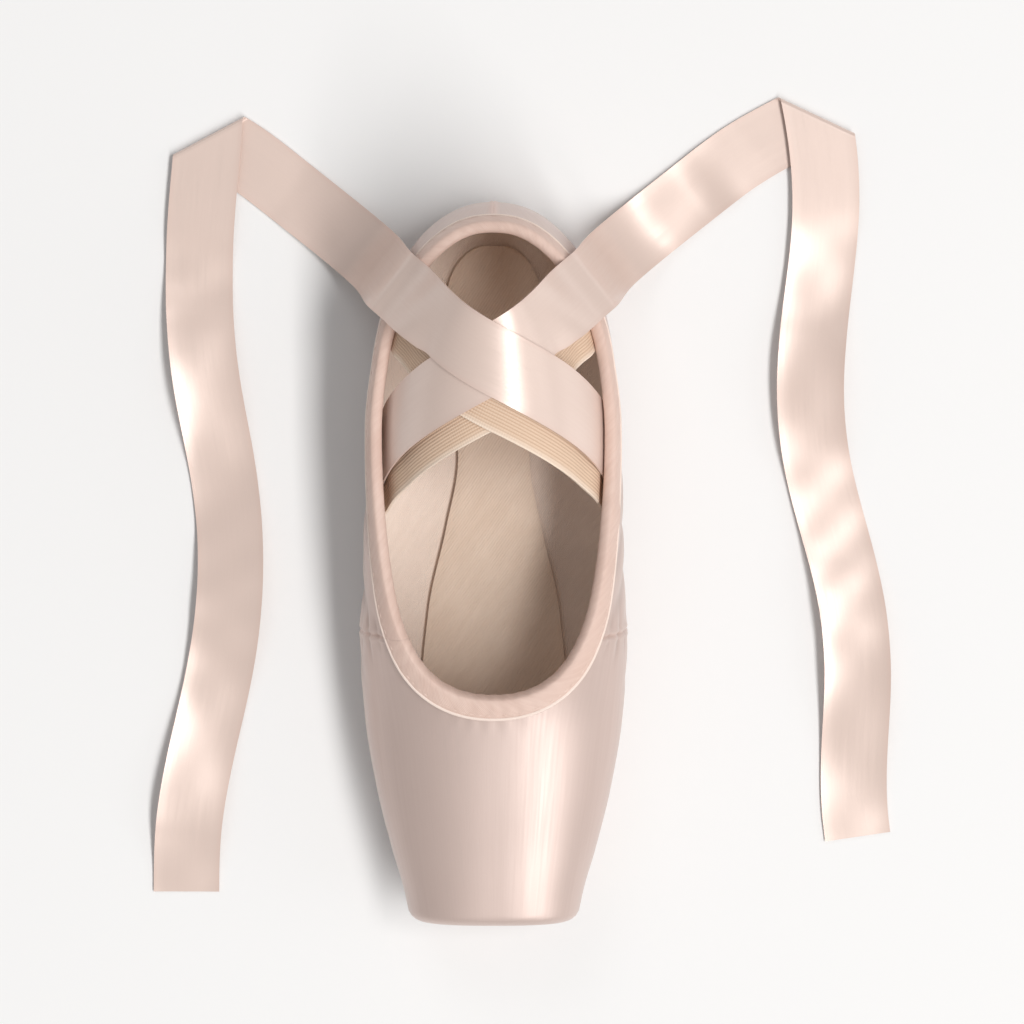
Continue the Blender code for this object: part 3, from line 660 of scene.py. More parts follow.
@dataclass(frozen=True)
class Leather:
    """Buffed sole leather with a burnished, darker edge."""

    name: str
    base: Colour
    dark: Colour
    burnish: Colour
    grain: float
    coating: Coating

    def material(self, effects: Effects) -> Material:
        """Builds the material, which reads Object coordinates and the masks rim and rub."""
        material, w, shader = new_material(self.name, self.coating)
        place = w.place()
        grain = grouped(w, effects.grain, {"Vector": place, "Size": self.grain})
        tone = grouped(w, effects.tone, {"Vector": place, "Size": 0.012}).outputs[0]
        rub = grouped(w, effects.soil, {"Vector": place, "Reach": w.mask("rub")}).outputs[0]
        colour = w.mix(w.times(tone, 0.45), self.base, self.dark)
        colour = w.mix(w.times(grain.outputs["Pores"], 0.3), colour, self.dark)
        colour = w.mix(w.times(rub, 0.4), colour, self.burnish)
        colour = w.mix(w.mask("rim"), colour, self.burnish)
        rough = w.ramp(tone, 0.0, 1.0, 0.62, 0.78)
        rough = w.maths("SUBTRACT", rough, w.times(w.mask("rim"), 0.22))
        relief = bumped(w, grain.outputs["Height"], 0.25 * self.grain, 0.5)
        w.finish(shader, colour, rough, relief)
        return material


@dataclass(frozen=True)
class Lining:
    """Plain cotton drill of the inside and the sock."""

    name: str
    base: Colour
    shade: Colour
    thread: float
    coating: Coating

    def material(self, effects: Effects) -> Material:
        """Builds the material, which reads Object coordinates."""
        material, w, shader = new_material(self.name, self.coating)
        place = w.place()
        slant = w.slanted(place, (0.5, 0.3, 0.6))
        weave = grouped(w, effects.weave, {"Vector": slant, "Pitch": self.thread, "Float": 3.0})
        tone = grouped(w, effects.tone, {"Vector": place, "Size": 0.02}).outputs[0]
        colour = w.mix(w.times(tone, 0.4), self.base, self.shade)
        colour = w.mix(w.ramp(weave.outputs["Streak"], 0.3, 0.7, 0.0, 0.3), colour, self.shade)
        relief = bumped(w, weave.outputs["Height"], 0.3 * self.thread, 0.6)
        w.finish(shader, colour, w.ramp(tone, 0.0, 1.0, 0.82, 0.92), relief)
        return material


@dataclass(frozen=True)
class Small:
    """Sewing thread or a tack's head: one colour with a little tone and tooth."""

    name: str
    base: Colour
    shade: Colour
    metallic: float
    roughness: float
    coating: Coating

    def material(self, effects: Effects) -> Material:
        """Builds the material, which reads Object coordinates."""
        material, w, shader = new_material(self.name, self.coating)
        place = w.place()
        tone = grouped(w, effects.tone, {"Vector": place, "Size": 0.002}).outputs[0]
        tooth = w.noise(place, 3500.0, 3.0)
        colour = w.mix(w.times(tone, 0.6), self.base, self.shade)
        shader.inputs["Metallic"].default_value = self.metallic
        rough = w.ramp(tooth, 0.3, 0.7, self.roughness - 0.08, self.roughness + 0.08)
        relief = bumped(w, tooth, 0.00005, 0.4)
        w.finish(shader, colour, rough, relief)
        return material


@dataclass(frozen=True)
class Finishes:
    """Every finish of the shoe."""

    satin: Satin = Satin(
        # The darker crease colour is the painted shade in troughs; it also gives the weave's
        # streaks and the rubbing.
        name="satin", base=srgb(210, 188, 179), crease=srgb(160, 131, 119),
        seam=srgb(224, 189, 175), thread=0.00034, roughness=0.47, lustre=0.38,
        coating=Coating(
            specular=0.9, sheen=0.08, sheen_roughness=0.3, sheen_tint=srgb(255, 240, 232),
            coat=0.80, coat_roughness=0.42,
        ),
    )
    ribbon: Satin = Satin(
        name="ribbon", base=srgb(230, 208, 197), crease=srgb(202, 170, 156),
        seam=srgb(228, 200, 188), thread=0.00026, roughness=0.34, lustre=0.18,
        coating=Coating(
            specular=0.8, sheen=0.15, sheen_roughness=0.3, sheen_tint=srgb(255, 242, 236),
            coat=0.22, coat_roughness=0.28,
        ),
    )
    tape: Tape = Tape(
        name="binding", base=srgb(230, 203, 190), edge=srgb(196, 156, 140),
        # The pale piping colour is a painted highlight along the piped bead.
        piping_highlight=srgb(250, 232, 221), thread=0.00042, roughness=0.48,
        coating=Coating(specular=0.45, sheen=0.25, sheen_tint=srgb(255, 236, 228)),
    )
    knit: Knit = Knit(
        # The darker elastic colour is painted shade in the rib grooves and also a random fuzz.
        name="elastic", base=srgb(230, 202, 178), rib_shade_and_fuzz=srgb(200, 166, 138),
        cord=srgb(243, 224, 206), rib=0.00105,
        coating=Coating(specular=0.3, sheen=0.2, sheen_tint=srgb(255, 238, 220)),
    )
    leather: Leather = Leather(
        name="sole_leather", base=srgb(232, 202, 184), dark=srgb(214, 178, 156),
        burnish=srgb(176, 128, 100), grain=0.0007, coating=Coating(specular=0.35),
    )
    lining: Lining = Lining(
        name="lining", base=srgb(238, 222, 210), shade=srgb(218, 199, 185), thread=0.0006,
        coating=Coating(specular=0.2, sheen=0.15),
    )
    sock: Lining = Lining(
        name="insole", base=srgb(234, 215, 198), shade=srgb(212, 188, 168), thread=0.0008,
        coating=Coating(specular=0.25, sheen=0.1),
    )
    sewing: Small = Small(
        name="sewing_thread", base=srgb(238, 214, 202), shade=srgb(206, 172, 158),
        metallic=0.0, roughness=0.55, coating=Coating(specular=0.4, sheen=0.2),
    )
    tack: Small = Small(
        name="tack", base=srgb(188, 150, 112), shade=srgb(140, 108, 80), metallic=1.0,
        roughness=0.38, coating=Coating(),
    )


# The last


def table(**columns: tuple[float, ...]) -> Table:
    """A table of named columns, as a field of a dataclass."""
    return field(default_factory=lambda: columns)


@dataclass
class Last:
    """The form that the shoe is drawn over, with the shoe's own sizes."""

    length: float = 0.236
    ball_width: float = 0.0875
    instep_height: float = 0.088
    toe_height: float = 0.0315
    girth_height: float = 0.020
    vamp_length: float = 0.077
    throat_height: float = 0.0505
    waist_height: float = 0.0465
    heel_height: float = 0.0545
    heel_round: float = 0.046
    toe_spring: float = 0.0045
    arch_rise: float = 0.003
    toe_round: float = 0.0036
    rest_back: float = 0.080
    box_wall: float = 0.0026
    quarter_wall: float = 0.0014
    outsole_thickness: float = 0.003
    clearance: float = 0.0003
    sole_width: float = 0.049
    sole_toe_setback: float = 0.020
    sole_heel_setback: float = 0.016
    sole_edge: float = 0.0007
    turn_in: float = 0.006
    seam_back: float = 0.097
    corner_power: float = 2.3
    sole_front_power: float = 2.4
    sole_rear_power: float = 2.2
    ray_reach: float = 0.3
    ray_halvings: int = 24
    tilt_halvings: int = 20
    sections: Table = table(
        place=(0.0, 0.045, 0.10, 0.19, 0.29, 0.39, 0.49, 0.60, 0.70, 0.80, 0.90, 1.0),
        half_width=(
            *(0.632, 0.682, 0.768, 0.885, 0.970, 1.0),
            *(0.972, 0.958, 0.948, 0.885, 0.80, 0.70),
        ),
        top=(
            *(0.345, 0.375, 0.412, 0.482, 0.549, 0.655),
            *(0.755, 0.845, 0.918, 0.968, 0.990, 1.0),
        ),
        power=(2.7, 2.6, 2.5, 2.4, 2.3, 2.2, 2.2, 2.2, 2.2, 2.2, 2.2, 2.2),
    )
    collar: Table = table(
        place=(0.0, 0.10, 0.25, 0.48, 0.66, 0.84, 1.0),
        throat=(1.0, 0.98, 0.62, 0.0, 0.0, 0.0, 0.0),
        waist=(0.0, 0.02, 0.38, 1.0, 0.82, 0.32, 0.0),
        heel=(0.0, 0.0, 0.0, 0.0, 0.18, 0.68, 1.0),
    )
    underside: Table = table(
        place=(0.0, 0.10, 0.20, 0.28, 0.42, 0.50, 0.60, 0.68, 0.76, 1.0),
        spring=(1.0, 0.46, 0.10, 0.0, 0.0, 0.0, 0.0, 0.0, 0.0, 0.0),
        arch=(0.0, 0.0, 0.0, 0.0, 0.0, 0.55, 1.0, 0.65, 0.0, 0.0),
    )
    sole: Table = table(
        place=(0.0, 0.10, 0.28, 0.42, 0.55, 0.66, 0.76, 0.88, 1.0),
        half_width=(0.90, 0.965, 1.0, 0.90, 0.66, 0.50, 0.53, 0.66, 0.62),
    )
    heel_back: Table = table(
        height=(0.0, 0.06, 0.16, 0.34, 0.55, 0.78, 1.0, 1.5),
        forward=(0.19, 0.120, 0.040, 0.0, 0.012, 0.058, 0.115, 0.20),
    )

    @property
    def toe_x(self) -> float:
        """X of the toe tip."""
        return self.rest_back

    @property
    def bottom(self) -> float:
        """Height of the upper's underside over the flats of the sole."""
        return self.outsole_thickness + self.clearance

    @property
    def front_round(self) -> float:
        """Length over which the sole's toe end is rounded."""
        return 0.42 * self.sole_width

    @property
    def rear_round(self) -> float:
        """Length over which the sole's heel end is rounded."""
        return 0.36 * self.sole_width

    @property
    def heel_centre(self) -> float:
        """Distance back of the point that the heel's profiles fan out from."""
        return self.length - 0.87 * self.heel_round

    def rise(self, back: Points | float) -> Points:
        """Height of the shoe's underside off the floor plane."""
        share = np.asarray(back) / self.length
        spring = self.toe_spring * read(self.underside, "spring", share)
        return spring + self.arch_rise * read(self.underside, "arch", share)

    def collar_height(self, back: Points | float) -> Points:
        """Height of the collar edge above the floor, seen from the side."""
        share = (np.asarray(back) - self.vamp_length) / (self.length - self.vamp_length)
        heights = (self.throat_height, self.waist_height, self.heel_height)
        columns = zip(("throat", "waist", "heel"), heights, strict=True)
        return sum(height * read(self.collar, column, share) for column, height in columns)

    def plan_half_width(self, back: Points | float) -> Points:
        """Half width of the last seen from above, closed by a round heel."""
        share = np.asarray(back) / self.length
        width = self.ball_width / 2 * read(self.sections, "half_width", share)
        into = np.clip((back - (self.length - self.heel_round)) / self.heel_round, 0, 1)
        return width * (1 - into**self.corner_power) ** (1 / self.corner_power)

    def leaned(self, back: Points | float, height: Points | float) -> Points:
        """The place on the plan outline for this height, by the curve of the heel's back."""
        share = height / self.heel_height
        forward = curve(self.heel_back["height"], self.heel_back["forward"], share)
        start, end = self.length - 1.6 * self.heel_round, self.length - 0.25 * self.heel_round
        return back + self.heel_height * forward * ease(back, start, end)

    def toe_inset(self, back: Points | float) -> Points:
        """How far the rounded edge of the platform pulls the section in."""
        near = np.clip(self.toe_round - back, 0, self.toe_round)
        return self.toe_round - np.sqrt(self.toe_round**2 - near**2)

    def instep(self, back: Points | float) -> Points:
        """Height of the top of the last: the vamp, then the instep above the open throat."""
        top = self.instep_height * read(self.sections, "top", np.asarray(back) / self.length)
        at_toe = self.instep_height * self.sections["top"][0]
        at_throat = self.instep_height * read(self.sections, "top", self.vamp_length / self.length)
        toe_top, throat = self.toe_height + self.toe_spring - at_toe, self.throat_height - at_throat
        to_throat = ease(back, 0, self.vamp_length)
        past_throat = ease(back, self.vamp_length, self.length * 0.7)
        return top + toe_top * (1 - to_throat) + throat * to_throat * (1 - past_throat)

    def sole_half_width(
        self, back: Points | float, toe: float | None = None, heel: float | None = None,
        change: float = 0.0,
    ) -> Points:
        """Half width of the sole outline, with both ends round.

        Args:
            back: Distance from the toe tip.
            toe: Distance of the outline's toe end from the toe tip, the sole's own if left out.
            heel: Distance of its heel end from the heel, the sole's own if left out.
            change: How much wider it is than the sole.

        Returns:
            The half width, 0 beyond the ends.
        """
        toe = self.sole_toe_setback if toe is None else toe
        heel = self.sole_heel_setback if heel is None else heel
        share = (np.asarray(back) - toe) / (self.length - toe - heel)
        width = self.sole_width / 2 * read(self.sole, "half_width", share) + change
        to_front = np.clip(1 - (back - toe) / self.front_round, 0, 1)
        to_rear = np.clip(1 - (self.length - heel - back) / self.rear_round, 0, 1)
        front = (1 - to_front**self.sole_front_power) ** (1 / self.sole_front_power)
        rear = (1 - to_rear**2) ** (1 / self.sole_rear_power)
        return np.where((share < 0) | (share > 1), 0, width * (front * rear))

    def flat_half_width(self, back: Points | float, half: Points) -> Points:
        """Half width of the flat underside, where the last's greatest half width is half."""
        front = self.sole_toe_setback + 0.7 * self.front_round
        rear = self.length - self.sole_heel_setback - self.rear_round
        wide = self.sole_half_width(np.clip(back, front, rear), change=self.sole_edge)
        return np.minimum(wide, (0.30 + 0.42 * ease(back, 0, front)) * half)

    def outside(self, at: Points) -> Points:
        """Below 0 inside the last, above 0 outside it."""
        x, y, z = at.T
        back = self.toe_x - x
        inset = self.toe_inset(back)
        along = self.leaned(back, z)
        half = np.maximum(self.plan_half_width(along) - inset, 1e-5)
        power = read(self.sections, "power", back / self.length)
        top, bottom = self.instep(back) - inset, self.bottom + self.rise(back) + inset
        flat = self.flat_half_width(back, half)
        over = np.maximum(z - self.girth_height, 0) / (top - self.girth_height)
        upper = (np.abs(y) / half) ** power + over**power
        aside = np.maximum(np.abs(y) - flat, 0) / np.maximum(half - flat, 1e-5)
        under = np.maximum(self.girth_height - z, 0) / (self.girth_height - bottom)
        lower = aside**self.corner_power + under**self.corner_power
        level = np.where(z > self.girth_height, upper, lower) - 1
        return np.where((back < 0) | (along >= self.length), 1.0, level)

    def ray_ends(self, origins: Points, directions: Points) -> Points:
        """Where rays from inside the last leave it."""
        near, far = np.zeros(len(origins)), np.full(len(origins), self.ray_reach)
        for _ in range(self.ray_halvings):
            middle = (near + far) / 2
            beyond = self.outside(origins + directions * middle[:, None]) > 0
            far, near = np.where(beyond, middle, far), np.where(beyond, near, middle)
        return origins + directions * near[:, None]

    def stations(self, toe_steps: int, side_steps: int, heel_steps: int) -> Points:
        """Spine place and turn of each profile plane, closer together at the toe and the seams.

        Args:
            toe_steps: Planes from the toe's middle to one side seam.
            side_steps: Planes from a side seam to the heel's fan.
            heel_steps: Planes from there to the back seam.

        Returns:
            Rows of distance back and turn, once round from the right side seam over the toe.
        """
        share = np.linspace(0, 1, toe_steps + 1)
        turn = math.pi / 2 * (0.42 * share + 0.58 * (1 - np.cos(math.pi * share)) / 2)
        toe = np.concatenate([-turn[:0:-1], turn])
        step = np.linspace(0, 1, side_steps + 1)[1:]
        packed = 0.14 * step + 0.86 * step**1.7
        backs = self.seam_back + (self.heel_centre - self.seam_back) * packed
        apart = np.linspace(1, 0, heel_steps + 1)[1:]
        heel = math.pi - math.pi / 2 * (0.22 * apart + 0.78 * apart**1.8)
        left = [(back, math.pi / 2) for back in backs]
        round_heel = [(self.heel_centre, turn) for turn in (*heel, *(2 * math.pi - heel[-2::-1]))]
        right = [(back, 1.5 * math.pi) for back in backs[::-1]]
        return np.array([(self.seam_back, turn) for turn in toe] + left + round_heel + right)

    def points(self, places: Points, tilts: Points) -> Points:
        """Points of the last, one row for each profile plane, at these tilts of its rays."""
        backs, turns = places.T
        height = np.full(len(backs), 1.3 * self.girth_height)
        spine = np.stack([self.toe_x - backs, np.zeros(len(backs)), height], axis=1)
        level = np.stack([np.cos(turns), np.sin(turns), 0 * turns], axis=1)
        directions = level[:, None] * np.cos(tilts)[..., None] + UP * np.sin(tilts)[..., None]
        origins = np.broadcast_to(spine[:, None], directions.shape)
        ends = self.ray_ends(origins.reshape(-1, 3), directions.reshape(-1, 3))
        return ends.reshape(directions.shape)

    def first_tilt(self, places: Points, test: Callable[[Points], Points]) -> Points:
        """The tilt at which each profile, followed upwards, first passes the test."""
        coarse = np.tile(np.linspace(-0.495 * math.pi, 0.47 * math.pi, 110), (len(places), 1))
        beyond = np.argmax(test(self.points(places, coarse)) > 0, axis=1)
        rows = np.arange(len(places))
        low, high = coarse[rows, beyond - 1], coarse[rows, beyond]
        for _ in range(self.tilt_halvings):
            middle = (low + high) / 2
            passed = test(self.points(places, middle[:, None]))[:, 0] > 0
            low, high = np.where(passed, low, middle), np.where(passed, middle, high)
        return high

    def profiles(self, places: Points, steps: int) -> Points:
        """Profiles of the upper's outer face, from the sole opening's edge up to the collar."""

        def past_opening(at: Points) -> Points:
            """Above 0 beyond the edge of the opening that the sole closes."""
            return np.abs(at[..., 1]) - self.sole_half_width(self.toe_x - at[..., 0]) + self.turn_in

        def past_collar(at: Points) -> Points:
            """Above 0 over the collar edge."""
            return at[..., 2] - self.collar_height(self.toe_x - at[..., 0])

        start = self.first_tilt(places, past_opening)
        end = self.first_tilt(places, past_collar)
        share = np.linspace(0, 1, steps)
        return self.points(places, start[:, None] * (1 - share) + end[:, None] * share)

    def spread(self, points: Points, rows: int) -> Points:
        """Evenly spaced points of a profile, closer where it bends."""
        step = np.diff(points, axis=0)
        length = np.linalg.norm(step, axis=1)
        unit = step / length[:, None]
        bend = np.zeros(len(length))
        bend[1:] = np.arccos(np.clip((unit[1:] * unit[:-1]).sum(1), -1, 1))
        way = np.concatenate([[0], np.cumsum(length + 0.45 * self.girth_height * bend)])
        share = np.linspace(0, way[-1], rows)
        return np.stack([np.interp(share, way, points[:, k]) for k in range(3)], axis=1)

    def wall(self, x: Points | float) -> Points:
        """Wall of the upper: stiff and thick at the box, thin at the quarters."""
        along = ease(self.toe_x - x, 0.5 * self.vamp_length, 1.5 * self.vamp_length)
        return self.box_wall + (self.quarter_wall - self.box_wall) * along

    def form_point(self, back: Points, angle: Points) -> Points:
        """A point of the last's upper half. angle: 0 at the girth on the +Y side, pi/2 on top."""
        power = 2 / read(self.sections, "power", back / self.length)
        rise = np.abs(np.sin(angle)) ** power
        z = self.girth_height + (self.instep(back) - self.girth_height) * rise
        across = np.sign(np.cos(angle)) * np.abs(np.cos(angle)) ** power
        y = self.plan_half_width(self.leaned(back, z)) * across
        return np.stack([self.toe_x - back, y, z], axis=-1)

    def form_normal(self, back: Points, angle: Points) -> Points:
        """Outward normal of the last there."""
        step = 0.002
        along = self.form_point(back + step, angle) - self.form_point(back - step, angle)
        around = self.form_point(back, angle + step) - self.form_point(back, angle - step)
        return unit(np.cross(along, around))

    def collar_angle(self, back: float) -> float:
        """The angle at which a section of the last meets the collar, on the +Y side."""
        height = self.collar_height(back) - self.girth_height
        share = height / (self.instep(back) - self.girth_height)
        power = read(self.sections, "power", back / self.length) / 2
        return math.asin(float(share**power))

    def underside_height(self, back: float, y: Points | float) -> Points:
        """Height of the upper's outer face under the foot, off the flat of the sole."""
        half = self.plan_half_width(self.leaned(back, self.bottom))
        flat = self.flat_half_width(back, half)
        aside = np.clip((np.abs(y) - flat) / np.maximum(half - flat, 1e-4), 0, 0.999)
        bottom = self.bottom + self.rise(back)
        drop = (1 - aside**self.corner_power) ** (1 / self.corner_power)
        return self.girth_height - (self.girth_height - bottom) * drop


# The upper and its binding


@dataclass(frozen=True)
class Pleat:
    """One pleat drawn under the toe: its angle round the sole's toe end, in degrees, and size."""

    angle: float
    depth: float
    reach: float
    width: float


@dataclass(frozen=True)
class Fold:
    """One soft fold. Its ends: distance from the toe tip, share of the way from sole to collar."""

    start: tuple[float, float]
    end: tuple[float, float]
    width: float
    depth: float
    side: Side


@dataclass(frozen=True)
class Pucker:
    """One short gather across the side seam, at a share of the way from sole to collar."""

    level: float
    reach: float
    width: float
    depth: float


PLEATS = (
    Pleat(-86, 0.50, 0.010, 0.0012),
    Pleat(-74, 0.62, 0.013, 0.0011),
    Pleat(-63, 0.70, 0.012, 0.0010),
    Pleat(-51, 0.80, 0.016, 0.0011),
    Pleat(-41, 0.66, 0.013, 0.0009),
    Pleat(-30, 0.88, 0.017, 0.0011),
    Pleat(-19, 0.72, 0.014, 0.0010),
    Pleat(-9, 0.90, 0.017, 0.0011),
    Pleat(2, 0.70, 0.014, 0.0009),
    Pleat(12, 0.92, 0.018, 0.0011),
    Pleat(23, 0.74, 0.014, 0.0010),
    Pleat(34, 0.84, 0.016, 0.0011),
    Pleat(44, 0.64, 0.013, 0.0009),
    Pleat(55, 0.80, 0.015, 0.0011),
    Pleat(67, 0.66, 0.012, 0.0010),
    Pleat(79, 0.55, 0.011, 0.0012),
)

FOLDS = (
    Fold((0.101, 0.88), (0.128, 0.34), 0.0042, 0.00062, Side.LEFT),
    Fold((0.113, 0.92), (0.150, 0.28), 0.0048, 0.00070, Side.LEFT),
    Fold((0.134, 0.90), (0.166, 0.38), 0.0040, 0.00052, Side.LEFT),
    Fold((0.126, 0.22), (0.172, 0.14), 0.0044, 0.00058, Side.LEFT),
    Fold((0.176, 0.76), (0.205, 0.46), 0.0040, 0.00050, Side.LEFT),
    Fold((0.186, 0.36), (0.219, 0.26), 0.0036, 0.00044, Side.LEFT),
    Fold((0.078, 0.52), (0.092, 0.30), 0.0036, 0.00034, Side.LEFT),
    Fold((0.100, 0.80), (0.122, 0.24), 0.0046, 0.00066, Side.RIGHT),
    Fold((0.117, 0.94), (0.147, 0.40), 0.0040, 0.00056, Side.RIGHT),
    Fold((0.129, 0.80), (0.169, 0.22), 0.0050, 0.00072, Side.RIGHT),
    Fold((0.140, 0.16), (0.178, 0.20), 0.0040, 0.00050, Side.RIGHT),
    Fold((0.172, 0.86), (0.199, 0.56), 0.0038, 0.00048, Side.RIGHT),
    Fold((0.190, 0.44), (0.222, 0.30), 0.0038, 0.00046, Side.RIGHT),
    Fold((0.080, 0.60), (0.093, 0.42), 0.0034, 0.00030, Side.RIGHT),
)

PUCKERS = (
    Pucker(0.10, 0.0055, 0.0012, 0.00042),
    Pucker(0.19, 0.0042, 0.0010, 0.00034),
    Pucker(0.29, 0.0062, 0.0013, 0.00046),
    Pucker(0.40, 0.0040, 0.0010, 0.00032),
    Pucker(0.50, 0.0052, 0.0012, 0.00040),
    Pucker(0.61, 0.0044, 0.0011, 0.00034),
    Pucker(0.72, 0.0060, 0.0013, 0.00042),
    Pucker(0.82, 0.0038, 0.0010, 0.00030),
)


@dataclass
class Upper:
    """The satin upper with its lining: one hollow shell, open at the collar and under the sole."""

    last: Last
    toe_steps: int = 118
    side_steps: int = 54
    heel_steps: int = 44
    rows: int = 100
    lining_rows: int = 34
    line_steps: int = 150
    binding_leg: float = 0.0065
    seam_ridge: float = 0.0006
    seam_dip: float = 0.0004
    seam_width: float = 0.0011
    pleat_depth: float = 0.0009
    gather: Ripple = Ripple(height=0.00004, pitch=0.0046, drift=1.8, drift_pitch=0.033)
    lasting: Ripple = Ripple(height=0.00010, pitch=0.0040, drift=2.1, drift_pitch=0.047)
    lasting_at_heel: float = 0.00026
    unevenness: float = 0.00009
    # Trough depth at which the painted crease shade is fullest.
    deepest_crease: float = 0.0009
    cloth_radius: float = 0.036
    places: Points = field(init=False)
    lines: Points = field(init=False)

    def __post_init__(self) -> None:
        """Finds the profiles that the upper and the binding share."""
        self.places = self.last.stations(self.toe_steps, self.side_steps, self.heel_steps)
        self.lines = self.last.profiles(self.places, self.line_steps)

    def _pleats(self, grid: Points, beyond: Points) -> Points:
        """Relief of the pleats under the toe.

        Args:
            grid: Points of the outer face.
            beyond: Distance of each from the sole's edge, along the face.

        Returns:
            How far each point moves out.
        """
        last = self.last
        centre = last.toe_x - last.sole_toe_setback - last.front_round
        ahead, y = grid[..., 0] - centre, grid[..., 1]
        angle, radius = np.arctan2(y, ahead), np.hypot(y, ahead)
        relief = np.zeros(radius.shape)
        under = 1 - ease(grid[..., 2], 0.55 * last.girth_height, 0.95 * last.girth_height)
        for pleat in PLEATS:
            aside = (angle - math.radians(pleat.angle)) * radius
            spread = pleat.width * (1 + 0.6 * np.clip(beyond / pleat.reach, 0, 1))
            fade = 1 - ease(beyond, 0.35 * pleat.reach, pleat.reach)
            trough = bell(aside, spread) - 0.4 * bell(aside - 1.9 * spread, spread)
            relief -= self.pleat_depth * pleat.depth * trough * fade * under
        return relief * (np.abs(angle) < math.radians(100))

    def _folds(self, back: Points, level: Points, side: Points, reach: Points) -> Points:
        """Relief of the soft folds at waist and heel."""
        relief = np.zeros(back.shape)
        for fold in FOLDS:
            ax, ay = fold.start[0], fold.start[1] * reach
            bx, by = fold.end[0], fold.end[1] * reach
            length2 = (bx - ax) ** 2 + (by - ay) ** 2
            along = (back - ax) * (bx - ax) + (level * reach - ay) * (by - ay)
            share = np.clip(along / length2, 0, 1)
            apart = np.hypot(back - ax - share * (bx - ax), level * reach - ay - share * (by - ay))
            fade = np.sin(math.pi * np.clip(share, 0.06, 0.94)) ** 0.7
            ridge = bell(apart - 1.7 * fold.width, 0.9 * fold.width)
            shape = bell(apart, fold.width) - 0.45 * ridge
            relief -= fold.depth * shape * fade * (side * fold.side.value > 0)
        return relief

    def _seam(self, across: Points, level: Points, reach: Points) -> Points:
        """Relief of a side seam: a sewn-down line with short gathers over it."""
        line = -0.00042 * bell(across, 0.00055) + 0.00022 * bell(np.abs(across) - 0.0013, 0.0008)
        for pucker in PUCKERS:
            up = (level - pucker.level) * reach
            over = bell(np.abs(across) - 0.0016, pucker.reach)
            beside = bell(up - 2 * pucker.width, pucker.width)
            line -= pucker.depth * bell(up, pucker.width) * over
            line += 0.5 * pucker.depth * beside * bell(across, pucker.reach)
        return line

    def surface(self) -> tuple[Points, dict[str, Points]]:
        """The outer face with its seams, pleats and folds.

        Returns:
            Its points, and the masks crease, seam and rub at each.
        """
        last = self.last
        grid = np.array([last.spread(line, self.rows) for line in self.lines])
        normal = grid_normals(grid)
        x, y, z = grid[..., 0], grid[..., 1], grid[..., 2]
        back, turn = last.toe_x - x, self.places[:, 1][:, None]
        way = row_lengths(grid)
        beyond = way - last.turn_in
        reach = (way[:, -1:] - last.turn_in) + 0 * way
        level = beyond / reach
        below = way[:, -1:] - way
        from_spine = np.hypot(x - last.toe_x + last.seam_back, y)
        ahead = -(math.pi / 2 - np.abs(turn)) * from_spine
        across = np.where(np.abs(turn) < math.pi / 2 - 1e-6, ahead, back - last.seam_back)
        free = ease(beyond, 0, 0.002)
        under_tape = ease(below, 0.8 * self.binding_leg, 1.25 * self.binding_leg)
        relief = self._pleats(grid, beyond)
        relief = relief + self._folds(back, level, np.sign(y), reach) * under_tape
        relief = relief + self._seam(across, level, reach) * under_tape
        gathers = self.gather.wave(ring_lengths(grid[:, -1])[:, None])
        hang = bell(below - self.binding_leg, 0.0045) * under_tape
        relief = relief + self.gather.height * gathers * hang
        pulls = self.lasting.wave(ring_lengths(grid[:, 4])[:, None])
        at_heel = ease(back, 0.80 * last.length, 0.92 * last.length)
        height = self.lasting.height + self.lasting_at_heel * at_heel
        relief = relief + height * pulls * bell(beyond - 0.0015, 0.0042)
        uneven = np.sin(x * 150 + 2.2 * np.sin(y * 90)) * np.sin(z * 120 + y * 60)
        spare = ease(back, 0.25 * last.vamp_length, last.length)
        relief = relief + self.unevenness * uneven * spare
        from_heel = np.hypot(x - last.toe_x + last.heel_centre, y)
        at_back = np.abs(turn - math.pi) < 0.5
        apart = np.where(at_back, (turn - math.pi) * from_heel, 1.0)
        ridge = self.seam_ridge * bell(apart, self.seam_width)
        ridge = ridge - self.seam_dip * bell(apart, 0.32 * self.seam_width)
        relief = (relief + ridge * under_tape) * free
        pinker = 0.8 * bell(apart, 1.3 * self.seam_width) + 0.35 * bell(across, 0.0006)
        masks = {
            # Painted shade in the relief's troughs.
            "crease": np.clip(-relief / self.deepest_crease, 0, 1),
            "seam": np.clip(pinker, 0, 1),
            "rub": (1 - ease(z, 0.004, 0.016)) * (1 - ease(back, 0.02, 0.06)),
        }
        return grid + normal * relief[..., None], masks

    def dress(self, satin: Material, lining: Material) -> Object:
        """Builds the upper.

        Args:
            satin: Finish of the outer face.
            lining: Finish of the inner face.

        Returns:
            The piece.
        """
        last = self.last
        outer, masks = self.surface()
        inside = np.array([last.spread(line, self.lining_rows) for line in self.lines])
        inner = inside - grid_normals(inside) * last.wall(inside[..., 0])[..., None]
        ring = np.concatenate([outer, inner[:, ::-1]], axis=1)
        count, around = ring.shape[:2]
        pad = np.zeros((count, self.lining_rows))
        turn = np.arctan2(ring[..., 1], ring[..., 2] - 0.6 * last.girth_height)
        uv = np.stack([ring[..., 0], self.cloth_radius * turn], axis=-1)
        slots = np.tile(np.arange(around) >= self.rows - 1, count).astype(np.int64)
        masks = {name: np.concatenate([values, pad], axis=1) for name, values in masks.items()}
        mesh = Mesh(ring, tube_faces(count, around, True), uv, masks, slots)
        return mesh.piece("upper_satin", (satin, lining))


